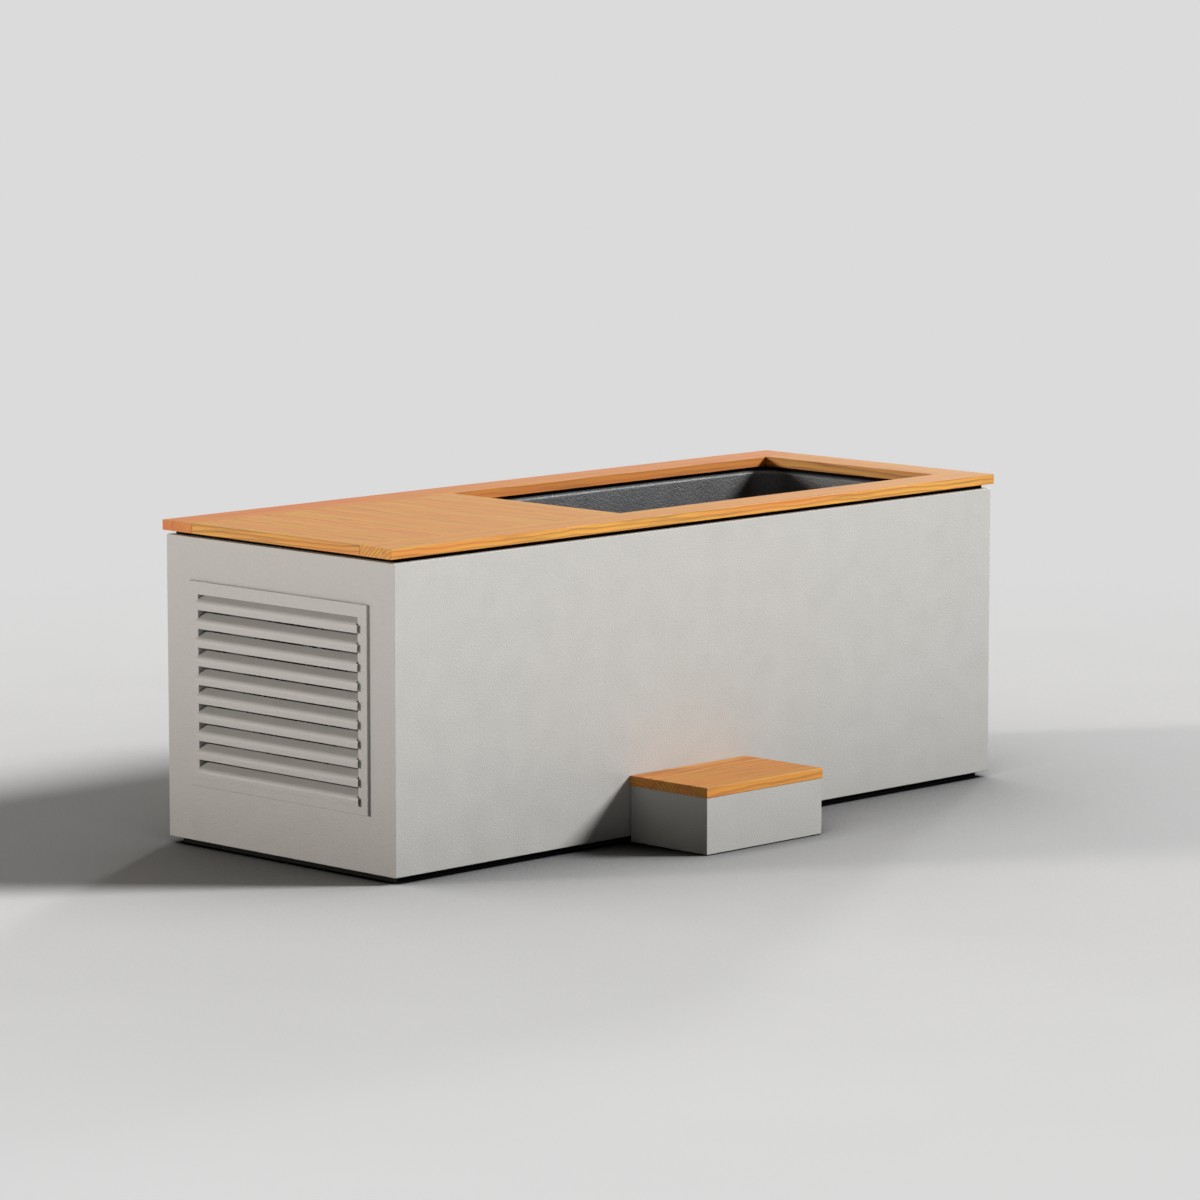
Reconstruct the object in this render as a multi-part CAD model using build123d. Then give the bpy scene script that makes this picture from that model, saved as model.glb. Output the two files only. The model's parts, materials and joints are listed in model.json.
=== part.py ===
from build123d import *
import math
import os

# Cold plunge tub: a long sheet-metal casing on a recessed plinth, a moulded basin let into a timber deck, a
# machine bay with a louvred grille under the deck's lift-off cover, and a matching step in front.
# X runs along the tub with the louvred end at -X, the step stands on the -Y side, and +Z is up.
# The origin is on the floor at the centre of the casing's footprint. All sizes are in millimetres.

# Casing of folded sheet panels, mitred at the corners
casing_length = 2200
casing_width = 834
casing_height = 770
sheet = 3
return_width = 28
fold_radius = 2
mitre_gap = 0.4

# Plinth bars, set back under the casing
plinth_height = 17
plinth_inset_end = 25
plinth_inset_side = 23
plinth_bar = 60
plinth_bearers = 3

# Air slots in the base tray
slot_length = 180
slot_width = 14
slot_pitch = 34
slot_count = 6

# Clearances
fit = 0.3
slip = 1.0
running_fit = 0.05
hole_clearance = 0.2

# Square tube frame inside the casing
tube = 40
tube_wall = 3
frame_gap = 0.5
floor_rails = 3

# Timber deck on black spacers that leave a shadow gap
shadow_gap = 11
spacer_inset = 17
spacer_setback = 12
spacer_end_width = 70
deck_thickness = 26
deck_overhang_end = 12
deck_overhang_side = 2
side_rail_width = 111
end_rail_width = 121
edge_radius = 1.5

# Lift-off cover over the machine bay
cover_length = 900
board_count = 7
batten_width = 60
batten_thickness = 20
batten_inset = 70
batten_end_gap = 12

# Screws into the timber
screw_radius = 3
screw_head_radius = 6
screw_head_height = 4
screw_bite = 16
screw_pitch = 420
screw_end_inset = 70
end_screw_pitch = 220

# Basin: one moulded shell with a flange that lies on the frame
basin_lip_gap = 4
basin_corner_radius = 75
basin_depth = 676
basin_wall = 5
basin_draft = 2
basin_floor_radius = 40
lip_radius = 6
flange_thickness = 4
flange_bearing = 12

# Insulation
foam_thickness = 30
foam_relief = 4

# Louvred grille in the end panel
grille_width = 586
grille_height = 454
grille_border = 32.5
grille_bottom = 192
grille_proud = 7
grille_sleeve = 2
grille_depth = 52
blade_count = 10
blade_pitch = 47.3
blade_first = 182
blade_lip = 21
blade_nose = 7.5
blade_run = 36
blade_slope = 25
blade_sheet = 2
blade_overlap = 5.5

# Bulkhead between the machine bay and the basin
bulkhead_thickness = 12

# Pipes, sockets and flanged fittings
pipe_radius = 16
pipe_wall = 3
pipe_bend = 32
socket_depth = 16
collar_radius = 22
collar_length = 20
flange_radius = 42
flange_plate = 5
nut_radius = 30
nut_height = 14
strainer_hole = 3.5
strainer_pitch = 11
strainer_rows = 2

# Chiller
chiller_length = 370
chiller_width = 560
chiller_height = 590
chiller_end_gap = 60
chiller_sheet = 2
chiller_floor = 6
chiller_corner_radius = 6
mount_height = 30
mount_radius = 20
mount_inset = 45
port_y = 160
port_plate_radius = 30
port_plate = 4
side_slot_count = 9
side_slot_height = 300
side_slot_width = 10
side_slot_pitch = 22

# Fan behind the grille
fan_radius = 180
fan_tip_gap = 8
fan_hub_radius = 50
fan_depth = 36
fan_blades = 6
fan_pitch = 32
fan_blade_sheet = 3
fan_shaft_radius = 6
fan_end_gap = 4
motor_radius = 42
motor_length = 40
guard_bar = 4
guard_rings = 4
guard_spokes = 4
guard_rim = 10
shroud_depth = 44

# Inside the chiller
coil_gap = 14
coil_depth = 36
coil_margin = 30
coil_height = 500
coil_plate = 3
compressor_radius = 75
compressor_height = 230
compressor_y = -120
compressor_cone = 40
exchanger_radius = 60
exchanger_height = 450
exchanger_cone = 20

# Controller on the chiller's lid
controller_length = 90
controller_width = 170
controller_height = 24
controller_wall = 2.5
controller_radius = 8
display_length = 40
display_width = 70
display_depth = 1.5
display_y = -35
button_radius = 7
button_flange = 2
button_pitch = 24
button_y = 28
button_travel = 1.2
button_proud = 2.5
button_count = 3

# Circulation pump
pump_y = -190
pump_z = 205
volute_radius = 80
volute_width = 60
pump_motor_radius = 62
pump_motor_length = 140
pump_foot_width = 110
groove_count = 4
groove_width = 6
groove_depth = 4

# Cartridge filter
filter_y = 160
filter_radius = 68
filter_wall = 6
filter_floor = 10
filter_head_radius = 78
filter_head_height = 60
filter_port_z = 430
filter_cap_radius = 84
filter_cap_height = 26
filter_plug = 10
filter_lugs = 6
filter_lug_width = 14
filter_lug_depth = 6
cartridge_radius = 52
cartridge_bore = 20
cartridge_pleats = 36
cartridge_pleat_depth = 7

# Return line with its steriliser
return_y = -60
return_z = 600
steriliser_radius = 34
steriliser_length = 200

# Drain line, valve and outlet
drain_from_end = 150
drain_rise = 6
sump_radius = 30
sump_floor = 4
outlet_from_bulkhead = 48
valve_y = 290
valve_length = 64
valve_radius = 24
valve_hub_radius = 13
valve_hub_height = 34
stem_radius = 7
stem_depth = 14
lever_length = 78
lever_width = 18
lever_thickness = 5
outlet_proud = 24
outlet_radius = 13.2
outlet_bore = 10
outlet_flange_radius = 27
outlet_flange = 4

# Electrics
box_width = 220
box_depth = 78
box_height = 170
box_inset = 33.5
box_z = 300
box_lid = 12
box_radius = 4
gland_from_outlet = 180
gland_z = 150
gland_radius = 12
gland_bore = 5.5
gland_hex_radius = 16
gland_hex = 8
gland_dome = 14
gland_tail = 10
gland_nut = 6

# Step
step_width = 428
step_depth = 269
step_height = 172
step_offset = -74
step_gap = 0.3
step_overhang = 2
step_sheet = 2
step_return = 22
step_fold_radius = 1.6
step_foot_height = 2
step_foot_radius = 9

# Levels
casing_top = plinth_height + casing_height
deck_bottom = casing_top + shadow_gap
deck_top = deck_bottom + deck_thickness
tray_top = plinth_height + sheet
floor_frame_top = tray_top + tube
frame_top = casing_top - sheet
flange_top = frame_top + flange_thickness

# Casing, frame and deck planes
half_length = casing_length / 2
half_width = casing_width / 2
frame_x = half_length - sheet - frame_gap
frame_y = half_width - sheet - frame_gap
inner_x = frame_x - tube
inner_y = frame_y - tube
deck_x = half_length + deck_overhang_end
deck_y = half_width + deck_overhang_side
open_left = cover_length - deck_x
open_right = deck_x - end_rail_width
open_y = deck_y - side_rail_width
spacer_x = half_length - spacer_inset
spacer_y = half_width - spacer_inset

# Basin
basin_x = (open_left + open_right) / 2
basin_length = open_right - open_left + 2 * basin_lip_gap
basin_width = 2 * (open_y + basin_lip_gap)
basin_left = open_left - basin_lip_gap
basin_right = open_right + basin_lip_gap
basin_floor = flange_top - basin_depth
basin_underside = basin_floor - basin_wall
draft_rate = math.tan(math.radians(basin_draft))
mid_rail_right = basin_left - basin_wall - tube
mid_rail_left = mid_rail_right - tube
bulkhead_x = mid_rail_left - bulkhead_thickness
flange_left = mid_rail_right - flange_bearing
flange_right = inner_x + flange_bearing
flange_y = inner_y + flange_bearing

# Machine bay
chiller_front = chiller_end_gap - half_length
chiller_back = chiller_front + chiller_length
chiller_base = tray_top + mount_height
case_bottom = chiller_base + chiller_floor
chiller_top = chiller_base + chiller_height
fan_z = grille_bottom + grille_height / 2
fan_front = chiller_front + motor_length + fan_end_gap
fan_back = fan_front + fan_depth
outlet_x = bulkhead_x - outlet_from_bulkhead
gland_x = outlet_x - gland_from_outlet
filter_x = outlet_x - pipe_radius - filter_lug_depth - slip - filter_cap_radius
pump_x = filter_x
drain_x = basin_left + drain_from_end
drain_z = floor_frame_top + pipe_radius + drain_rise
step_y = -half_width - step_gap - step_depth / 2
step_floor = step_height - deck_thickness

parts = {}


def block(x0, x1, y0, y1, z0, z1):
    """A box between two corners."""
    return Pos((x0 + x1) / 2, (y0 + y1) / 2, (z0 + z1) / 2) * Box(x1 - x0, y1 - y0, z1 - z0)


def rod(start, end, radius):
    """A round bar from one point to another."""
    line = Vector(*end) - Vector(*start)
    base = (Align.CENTER, Align.CENTER, Align.MIN)
    return Plane(origin=start, z_dir=line) * Cylinder(radius, line.length, align=base)


def along(start, end, distance):
    """The point at a distance from start towards end."""
    line = Vector(*end) - Vector(*start)
    point = Vector(*start) + line.normalized() * distance
    return (point.X, point.Y, point.Z)


def socketed(body, root, tip):
    """A body with a collar that runs from root to tip and takes the end of a pipe."""
    length = (Vector(*tip) - Vector(*root)).length
    seat = along(root, tip, length - socket_depth)
    return body + rod(root, tip, collar_radius) - rod(seat, tip, pipe_radius + hole_clearance)


def pipe_end(root, tip):
    """Where a pipe ends inside the collar that runs from root to tip."""
    length = (Vector(*tip) - Vector(*root)).length
    return along(root, tip, length - socket_depth + fit)


def water_pipe(*points):
    """Hollow pipe along straight runs joined by bends."""
    if len(points) == 2:
        return rod(*points, pipe_radius) - rod(*points, pipe_radius - pipe_wall)
    path = FilletPolyline(*points, radius=pipe_bend)
    section = Plane(origin=path @ 0, z_dir=path % 0)
    bore = sweep(section * Circle(pipe_radius - pipe_wall), path)
    return sweep(section * Circle(pipe_radius), path) - bore


def square_tube(x0, x1, y0, y1, z0, z1):
    """Square tube along its longest side, open at both ends."""
    spans = [x1 - x0, y1 - y0, z1 - z0]
    run = spans.index(max(spans))
    low = [start + (axis != run) * tube_wall for axis, start in enumerate((x0, y0, z0))]
    high = [end - (axis != run) * tube_wall for axis, end in enumerate((x1, y1, z1))]
    return block(x0, x1, y0, y1, z0, z1) - block(low[0], high[0], low[1], high[1], low[2], high[2])


def mirrored(side, near, far):
    """A span across the width on the front side, -1, or the back side, 1."""
    return sorted((side * near, side * far))


def span(first, last, count):
    """Evenly spaced places from first to last."""
    return [first + (last - first) * i / (count - 1) for i in range(count)]


def group(solids):
    return Compound(list(solids))


def hexagon_bar(start, end, radius):
    """A six-sided bar from one point to another."""
    line = Vector(*end) - Vector(*start)
    return extrude(Plane(origin=start, z_dir=line) * RegularPolygon(radius, 6), line.length)


# Sheet panels
def folded_panel(length, height, thickness, lip, fold):
    """A panel facing -Y with its face on Y = 0, its top and bottom edges folded in and its ends mitred."""
    face = block(-length / 2, length / 2, 0, thickness, 0, height)
    foot = block(-length / 2, length / 2, 0, lip, 0, thickness)
    head = block(-length / 2, length / 2, 0, lip, height - thickness, height)
    folded = face + foot + head
    folds = folded.edges().filter_by(Axis.X).group_by(Axis.Y)[0]
    folded = fillet(folds, fold)
    end = length / 2 - mitre_gap / 2
    plan = make_face(Polyline((-end, 0), (end, 0), (end - lip, lip), (lip - end, lip), close=True))
    return folded & extrude(plan, height)


def panel_ring(length, width, bottom, top, thickness, lip, fold):
    """Four folded panels round a rectangle: front, back, left and right."""
    long_side = folded_panel(length, top - bottom, thickness, lip, fold)
    short_side = folded_panel(width, top - bottom, thickness, lip, fold)
    return (
        Pos(0, -width / 2, bottom) * long_side,
        Pos(0, width / 2, bottom) * Rot(0, 0, 180) * long_side,
        Pos(-length / 2, 0, bottom) * Rot(0, 0, -90) * short_side,
        Pos(length / 2, 0, bottom) * Rot(0, 0, 90) * short_side,
    )


# Screws that come up through the frame into the deck
def deck_screw_places():
    """Where the deck screws stand along the two long rails and the end rail."""
    row = (inner_y + frame_y) / 2
    count = max(2, round(2 * (half_length - screw_end_inset) / screw_pitch) + 1)
    row_x = span(screw_end_inset - half_length, half_length - screw_end_inset, count)
    places = [(x, side * row) for side in (-1, 1) for x in row_x]
    return places + [((inner_x + frame_x) / 2, y) for y in (-end_screw_pitch, 0, end_screw_pitch)]


def screw(x, y, seat, tip):
    """A screw whose head bears upward on a seat."""
    head = hexagon_bar((x, y, seat - screw_head_height), (x, y, seat), screw_head_radius)
    return head + rod((x, y, seat), (x, y, tip), screw_radius)


def drilled(shape, places, low, high):
    """A shape with screw holes through it."""
    for x, y in places:
        shape -= rod((x, y, low), (x, y, high + slip), screw_radius + hole_clearance)
    return shape


def deck_drilled(shape):
    return drilled(shape, deck_screw_places(), frame_top - tube - slip, deck_bottom + screw_bite)


# Plinth and base tray
def make_plinth():
    x = half_length - plinth_inset_end
    y = half_width - plinth_inset_side
    inner = y - plinth_bar
    bars = []
    for side in (-1, 1):
        y0, y1 = mirrored(side, inner, y)
        bars.append(block(-x, x, y0, y1, 0, plinth_height))
        x0, x1 = mirrored(side, x - plinth_bar, x)
        bars.append(block(x0, x1, -inner, inner, 0, plinth_height))
    parts["plinth_rails"] = group(bars)
    parts["plinth_bearers"] = group(
        block(middle - plinth_bar / 2, middle + plinth_bar / 2, -inner, inner, 0, plinth_height)
        for middle in span(-x, x, plinth_bearers + 2)[1:-1]
    )


def make_base_tray():
    x = half_length - return_width - frame_gap
    y = half_width - return_width - frame_gap
    tray = block(-x, x, -y, y, plinth_height, tray_top)
    middle = (chiller_front + chiller_back) / 2
    slot = Pos(middle, 0, plinth_height) * extrude(SlotOverall(slot_length, slot_width), sheet)
    reach = slot_pitch * (slot_count - 1) / 2
    for slot_y in span(-reach, reach, slot_count):
        tray -= Pos(0, slot_y, 0) * slot
    parts["base_tray"] = tray


# Frame
def make_frame():
    rails = []
    for side in (-1, 1):
        y0, y1 = mirrored(side, inner_y, frame_y)
        rails.append(square_tube(-frame_x, frame_x, y0, y1, tray_top, floor_frame_top))
        rails.append(deck_drilled(square_tube(-frame_x, frame_x, y0, y1, frame_top - tube, frame_top)))
    parts["frame_long_rails"] = group(rails)

    end_row = (inner_x + frame_x) / 2
    mid_row = (mid_rail_left + mid_rail_right) / 2
    half = tube / 2
    top = [
        deck_drilled(square_tube(x - half, x + half, -inner_y, inner_y, frame_top - tube, frame_top))
        for x in (-end_row, mid_row, end_row)
    ]
    floor_rows = [-end_row, mid_row] + span(drain_x + sump_radius + tube, end_row, floor_rails)
    floor = [
        square_tube(x - half, x + half, -inner_y, inner_y, tray_top, floor_frame_top) for x in floor_rows
    ]
    parts["frame_cross_rails"] = group(top + floor)
    parts["frame_posts"] = group(
        square_tube(x - half, x + half, *mirrored(side, inner_y, frame_y), floor_frame_top, frame_top - tube)
        for x in (-end_row, mid_row, basin_x, end_row)
        for side in (-1, 1)
    )


def make_bulkhead():
    bulkhead = block(bulkhead_x, mid_rail_left, -inner_y, inner_y, tray_top, frame_top)
    for y, z in ((pump_y, pump_z), (return_y, return_z), (0, drain_z)):
        bulkhead -= rod((bulkhead_x, y, z), (mid_rail_left, y, z), pipe_radius + slip)
    parts["bulkhead"] = bulkhead


# Casing
def make_casing():
    front, back, left, right = panel_ring(
        casing_length, casing_width, plinth_height, casing_top, sheet, return_width, fold_radius
    )
    window_y = grille_width / 2 + grille_sleeve + frame_gap
    window_low = grille_bottom - grille_sleeve - frame_gap
    window_high = grille_bottom + grille_height + grille_sleeve + frame_gap
    window = block(-half_length, sheet - half_length, -window_y, window_y, window_low, window_high)
    inside = half_width - sheet
    outlet = rod((outlet_x, inside, drain_z), (outlet_x, half_width, drain_z), pipe_radius + fit)
    gland = rod((gland_x, inside, gland_z), (gland_x, half_width, gland_z), gland_radius + fit)
    parts["front_panel"] = deck_drilled(front)
    parts["back_panel"] = deck_drilled(back) - outlet - gland
    parts["louvre_panel"] = left - window
    parts["end_panel"] = deck_drilled(right)


# Louvred grille: a sleeved frame and folded blades whose front lips stand ahead of it
def louvre_blade(bottom):
    """One blade: an upright lip, and a leaf that climbs inward from the top of it."""
    half = grille_width / 2
    nose = -half_length - grille_proud - blade_nose
    top = bottom + blade_lip
    slope = math.radians(blade_slope)
    drop_x = blade_sheet * math.sin(slope)
    drop_z = blade_sheet * math.cos(slope)
    back = (nose + blade_run, top + blade_run * math.tan(slope))
    under_back = (back[0] + drop_x, back[1] - drop_z)
    leaf = make_face(Polyline((nose, top), back, under_back, (nose + drop_x, top - drop_z), close=True))
    lip = block(nose, nose + blade_sheet, -half - blade_overlap, half + blade_overlap, bottom, top)
    lip = chamfer(lip.edges().filter_by(Axis.Y).group_by(Axis.Z)[0].group_by(Axis.X)[0], blade_sheet / 2)
    return lip + extrude(Plane.XZ * leaf, half - fit, both=True)


def make_grille():
    half = grille_width / 2
    face = -half_length - grille_proud
    back = face + grille_depth
    low, high = grille_bottom, grille_bottom + grille_height
    edge = half + grille_border
    border = block(face, -half_length, -edge, edge, low - grille_border, high + grille_border)
    border = fillet(border.edges().group_by(Axis.X)[0], edge_radius)
    outer = half + grille_sleeve
    sleeve = block(-half_length, back, -outer, outer, low - grille_sleeve, high + grille_sleeve)
    parts["grille_frame"] = border + sleeve - block(face, back, -half, half, low, high)
    parts["grille_blades"] = group(louvre_blade(blade_first + i * blade_pitch) for i in range(blade_count))


# Black spacers under the deck, which leave a rounded window over the basin
def make_spacers():
    inner = open_y + spacer_setback
    flange = block(
        flange_left - slip,
        flange_right + slip,
        -flange_y - slip,
        flange_y + slip,
        frame_top,
        flange_top + fit,
    )
    strips = []
    for side in (-1, 1):
        y0, y1 = mirrored(side, inner, spacer_y)
        strips.append(deck_drilled(block(-spacer_x, spacer_x, y0, y1, casing_top, deck_bottom)) - flange)
    parts["spacer_side_strips"] = group(strips)

    window = RectangleRounded(
        open_right - open_left + 2 * spacer_setback,
        2 * inner,
        basin_corner_radius + spacer_setback - basin_lip_gap,
    )
    window = Pos(basin_x, 0, casing_top) * extrude(window, shadow_gap)
    corner = basin_corner_radius + spacer_setback
    end = block(-spacer_x, spacer_end_width - spacer_x, -inner, inner, casing_top, deck_bottom)
    middle = block(mid_rail_left, open_left + corner, -inner, inner, casing_top, deck_bottom)
    bearing = block(mid_rail_left, flange_left - slip, -inner_y, inner_y, frame_top, casing_top)
    right = block(open_right - corner, spacer_x, -inner, inner, casing_top, deck_bottom)
    parts["spacer_cross_strips"] = group(
        [end, middle + bearing - window - flange, deck_drilled(right) - window - flange]
    )


# Timber deck
def make_deck():
    for name, side in (("deck_front_rail", -1), ("deck_back_rail", 1)):
        rail = block(-deck_x, deck_x, *mirrored(side, open_y, deck_y), deck_bottom, deck_top)
        parts[name] = deck_drilled(fillet(rail.edges().filter_by(Axis.X), edge_radius))
    rail = block(open_right, deck_x, -open_y, open_y, deck_bottom, deck_top)
    parts["deck_end_rail"] = deck_drilled(fillet(rail.edges().filter_by(Axis.Y), edge_radius))
    parts["deck_screws"] = group(
        screw(x, y, frame_top - tube, deck_bottom + screw_bite) for x, y in deck_screw_places()
    )


def make_cover():
    board = cover_length / board_count
    reach = open_y - slip
    row = open_y - batten_inset - batten_width / 2
    low = deck_bottom - batten_thickness
    tip = deck_bottom + screw_bite
    places = [(board * (i + 0.5) - deck_x, side * row) for i in range(1, board_count - 1) for side in (-1, 1)]
    planks = []
    for i in range(board_count):
        left = board * i - deck_x
        plank = block(left, left + board, -reach, reach, deck_bottom, deck_top)
        edges = plank.edges().filter_by(Axis.Y).group_by(Axis.X)
        if i == 0:
            plank = fillet(edges[0], edge_radius)
        if i == board_count - 1:
            plank = fillet(edges[-1], edge_radius)
        planks.append(drilled(plank, [place for place in places if left < place[0] < left + board], low, tip))
    parts["cover_boards"] = group(planks)

    left = spacer_end_width - spacer_x + batten_end_gap
    right = bulkhead_x - batten_end_gap
    battens = [
        block(left, right, *mirrored(side, row - batten_width / 2, row + batten_width / 2), low, deck_bottom)
        for side in (-1, 1)
    ]
    parts["cover_battens"] = group(
        drilled(batten, [place for place in places if place[1] * side > 0], low - slip, tip)
        for batten, side in zip(battens, (-1, 1))
    )
    parts["cover_screws"] = group(screw(x, y, low, tip) for x, y in places)


# Basin
def basin_form(grow, depth, floor_radius):
    """The basin's tapered form below the flange's top, grown outward all round."""
    mouth = RectangleRounded(basin_length + 2 * grow, basin_width + 2 * grow, basin_corner_radius + grow)
    down = Plane(origin=(basin_x, 0, flange_top), x_dir=(1, 0, 0), z_dir=(0, 0, -1))
    form = extrude(down * mouth, depth, taper=basin_draft)
    return fillet(form.faces().sort_by(Axis.Z)[0].edges(), floor_radius)


def wall_x(z):
    """Where the inside of the basin's end wall stands at a height."""
    return basin_left + (flange_top - z) * draft_rate


def make_basin():
    outside = basin_form(basin_wall, basin_depth + basin_wall, basin_floor_radius + basin_wall)
    inside = basin_form(0, basin_depth, basin_floor_radius)
    flange = block(flange_left, flange_right, -flange_y, flange_y, frame_top, flange_top)
    shell = outside + flange - inside
    shell = fillet(shell.faces().sort_by(Axis.Z)[-1].inner_wires()[0].edges(), lip_radius)
    for y, z in ((pump_y, pump_z), (return_y, return_z)):
        shell -= rod((mid_rail_right, y, z), (wall_x(z) + sump_radius, y, z), collar_radius + fit)
    shell -= rod((drain_x, 0, basin_underside), (drain_x, 0, basin_floor), collar_radius + fit)
    parts["basin"] = shell


def fitting_root(y, z):
    """The two ends of the tail of a fitting through the basin's end wall."""
    reach = flange_radius * draft_rate
    face = wall_x(z) + reach + fit
    nut_face = wall_x(z) - basin_wall - reach - fit
    return (face, y, z), (nut_face - nut_height - collar_length, y, z), nut_face


def wall_fitting(y, z):
    """A flanged fitting through the basin's end wall, with a socket outside for its pipe, and its nut."""
    root, tip, nut_face = fitting_root(y, z)
    inner = (root[0] + flange_plate, y, z)
    plate = rod(root, inner, flange_radius)
    plate = chamfer(plate.edges().group_by(Axis.X)[-1], flange_plate / 2)
    body = socketed(plate, root, tip)
    nut = hexagon_bar((nut_face - nut_height, y, z), (nut_face, y, z), nut_radius)
    nut -= rod((nut_face - nut_height, y, z), (nut_face, y, z), collar_radius + hole_clearance)
    return body, nut, inner


def make_basin_fittings():
    suction, suction_nut, suction_face = wall_fitting(pump_y, pump_z)
    outlet, outlet_nut, outlet_face = wall_fitting(return_y, return_z)
    bore = pipe_radius - pipe_wall
    outlet -= rod(fitting_root(return_y, return_z)[1], outlet_face, bore)
    steps = range(-strainer_rows, strainer_rows + 1)
    inside = along(fitting_root(pump_y, pump_z)[0], suction_face, -flange_plate)
    suction -= rod(fitting_root(pump_y, pump_z)[1], inside, bore)
    for i in steps:
        for j in steps:
            y, z = pump_y + i * strainer_pitch, pump_z + j * strainer_pitch
            if math.hypot(y - pump_y, z - pump_z) < bore:
                suction -= rod((inside[0], y, z), (suction_face[0], y, z), strainer_hole)
    plate = rod((drain_x, 0, basin_floor), (drain_x, 0, basin_floor + flange_plate), flange_radius)
    plate = chamfer(plate.edges().group_by(Axis.Z)[-1], flange_plate / 2)
    drain = plate + rod((drain_x, 0, drain_z + pipe_radius), (drain_x, 0, basin_floor), collar_radius)
    drain -= rod((drain_x, 0, drain_z), (drain_x, 0, basin_floor + flange_plate), bore)
    bar = strainer_hole
    drain += block(
        drain_x - bore, drain_x + bore, -bar / 2, bar / 2, basin_floor, basin_floor + flange_plate / 2
    )
    drain += block(
        drain_x - bar / 2, drain_x + bar / 2, -bore, bore, basin_floor, basin_floor + flange_plate / 2
    )
    parts["basin_fittings"] = group([suction, outlet, drain])
    parts["fitting_nuts"] = group([suction_nut, outlet_nut])


def make_insulation():
    inner = basin_width / 2 + basin_wall + fit
    outer = inner + foam_thickness
    left = basin_left - basin_wall - fit
    right = basin_right + basin_wall + fit
    top = frame_top - fit
    ends = (left - foam_thickness, right + foam_thickness)
    boards = [block(*ends, *mirrored(side, inner, outer), floor_frame_top, top) for side in (-1, 1)]
    end = block(left - foam_thickness, left, -inner, inner, floor_frame_top, top)
    for y, z in ((pump_y, pump_z), (return_y, return_z)):
        end -= rod((left - foam_thickness, y, z), (left, y, z), nut_radius + foam_relief)
    channel = (left - foam_thickness, 0, drain_z), (drain_x, 0, drain_z)
    boards.append(end - rod(*channel, pipe_radius + foam_relief))
    boards.append(block(right, right + foam_thickness, -inner, inner, floor_frame_top, top))
    parts["insulation_walls"] = group(boards)
    floor = block(left, right, -inner + fit, inner - fit, floor_frame_top, basin_underside - fit)
    floor -= rod((drain_x, 0, floor_frame_top), (drain_x, 0, basin_underside), sump_radius + foam_relief)
    floor -= rod(*channel, pipe_radius + foam_relief)
    parts["insulation_floor"] = floor


# Drain
def make_drain():
    top = basin_underside - fit
    bottom = drain_z - pipe_radius - sump_floor
    sump = rod((drain_x, 0, bottom), (drain_x, 0, top), sump_radius)
    sump -= rod((drain_x, 0, drain_z + pipe_radius - fit), (drain_x, 0, top), collar_radius + hole_clearance)
    sump -= rod((drain_x, 0, drain_z), (drain_x, 0, top), pipe_radius)
    mouth = (drain_x - sump_radius - socket_depth, 0, drain_z)
    sump += rod((drain_x - collar_radius, 0, drain_z), mouth, pipe_radius + foam_relief - slip)
    seat = along(mouth, (drain_x, 0, drain_z), socket_depth)
    sump -= rod(seat, mouth, pipe_radius + hole_clearance)
    sump -= rod((drain_x, 0, drain_z), seat, pipe_radius - pipe_wall)
    parts["drain_sump"] = sump

    near = (outlet_x, valve_y - valve_length / 2, drain_z)
    far = (outlet_x, valve_y + valve_length / 2, drain_z)
    centre = (outlet_x, valve_y, drain_z)
    corner = (outlet_x, 0, drain_z)
    parts["drain_pipe"] = water_pipe(along(seat, mouth, fit), corner, pipe_end(centre, near))

    body = rod(along(near, far, socket_depth), along(far, near, socket_depth), valve_radius + fit)
    body = socketed(socketed(body, centre, near), centre, far)
    hub_top = drain_z + valve_hub_height
    seat_z = hub_top - stem_depth
    body += rod(centre, (outlet_x, valve_y, hub_top), valve_hub_radius)
    body -= rod((outlet_x, valve_y, seat_z), (outlet_x, valve_y, hub_top), stem_radius + running_fit)
    parts["drain_valve"] = body

    stem = rod((outlet_x, valve_y, seat_z + fit), (outlet_x, valve_y, hub_top + lever_thickness), stem_radius)
    lever = SlotCenterToCenter(lever_length - lever_width / 2, lever_width)
    lever = Pos(outlet_x - (lever_length - lever_width / 2) / 2, valve_y, hub_top + fit) * extrude(
        lever, lever_thickness
    )
    parts["drain_lever"] = lever + stem

    inside = pipe_end(centre, far)
    face = (outlet_x, half_width, drain_z)
    shoulder = (outlet_x, half_width + outlet_flange, drain_z)
    tip = (outlet_x, half_width + outlet_flange + outlet_proud, drain_z)
    outlet = rod(inside, face, pipe_radius) + rod(face, shoulder, outlet_flange_radius)
    spigot = rod(shoulder, tip, outlet_radius)
    outlet += chamfer(spigot.edges().group_by(Axis.Y)[-1], edge_radius)
    parts["drain_outlet"] = outlet - rod(inside, tip, outlet_bore)


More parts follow.
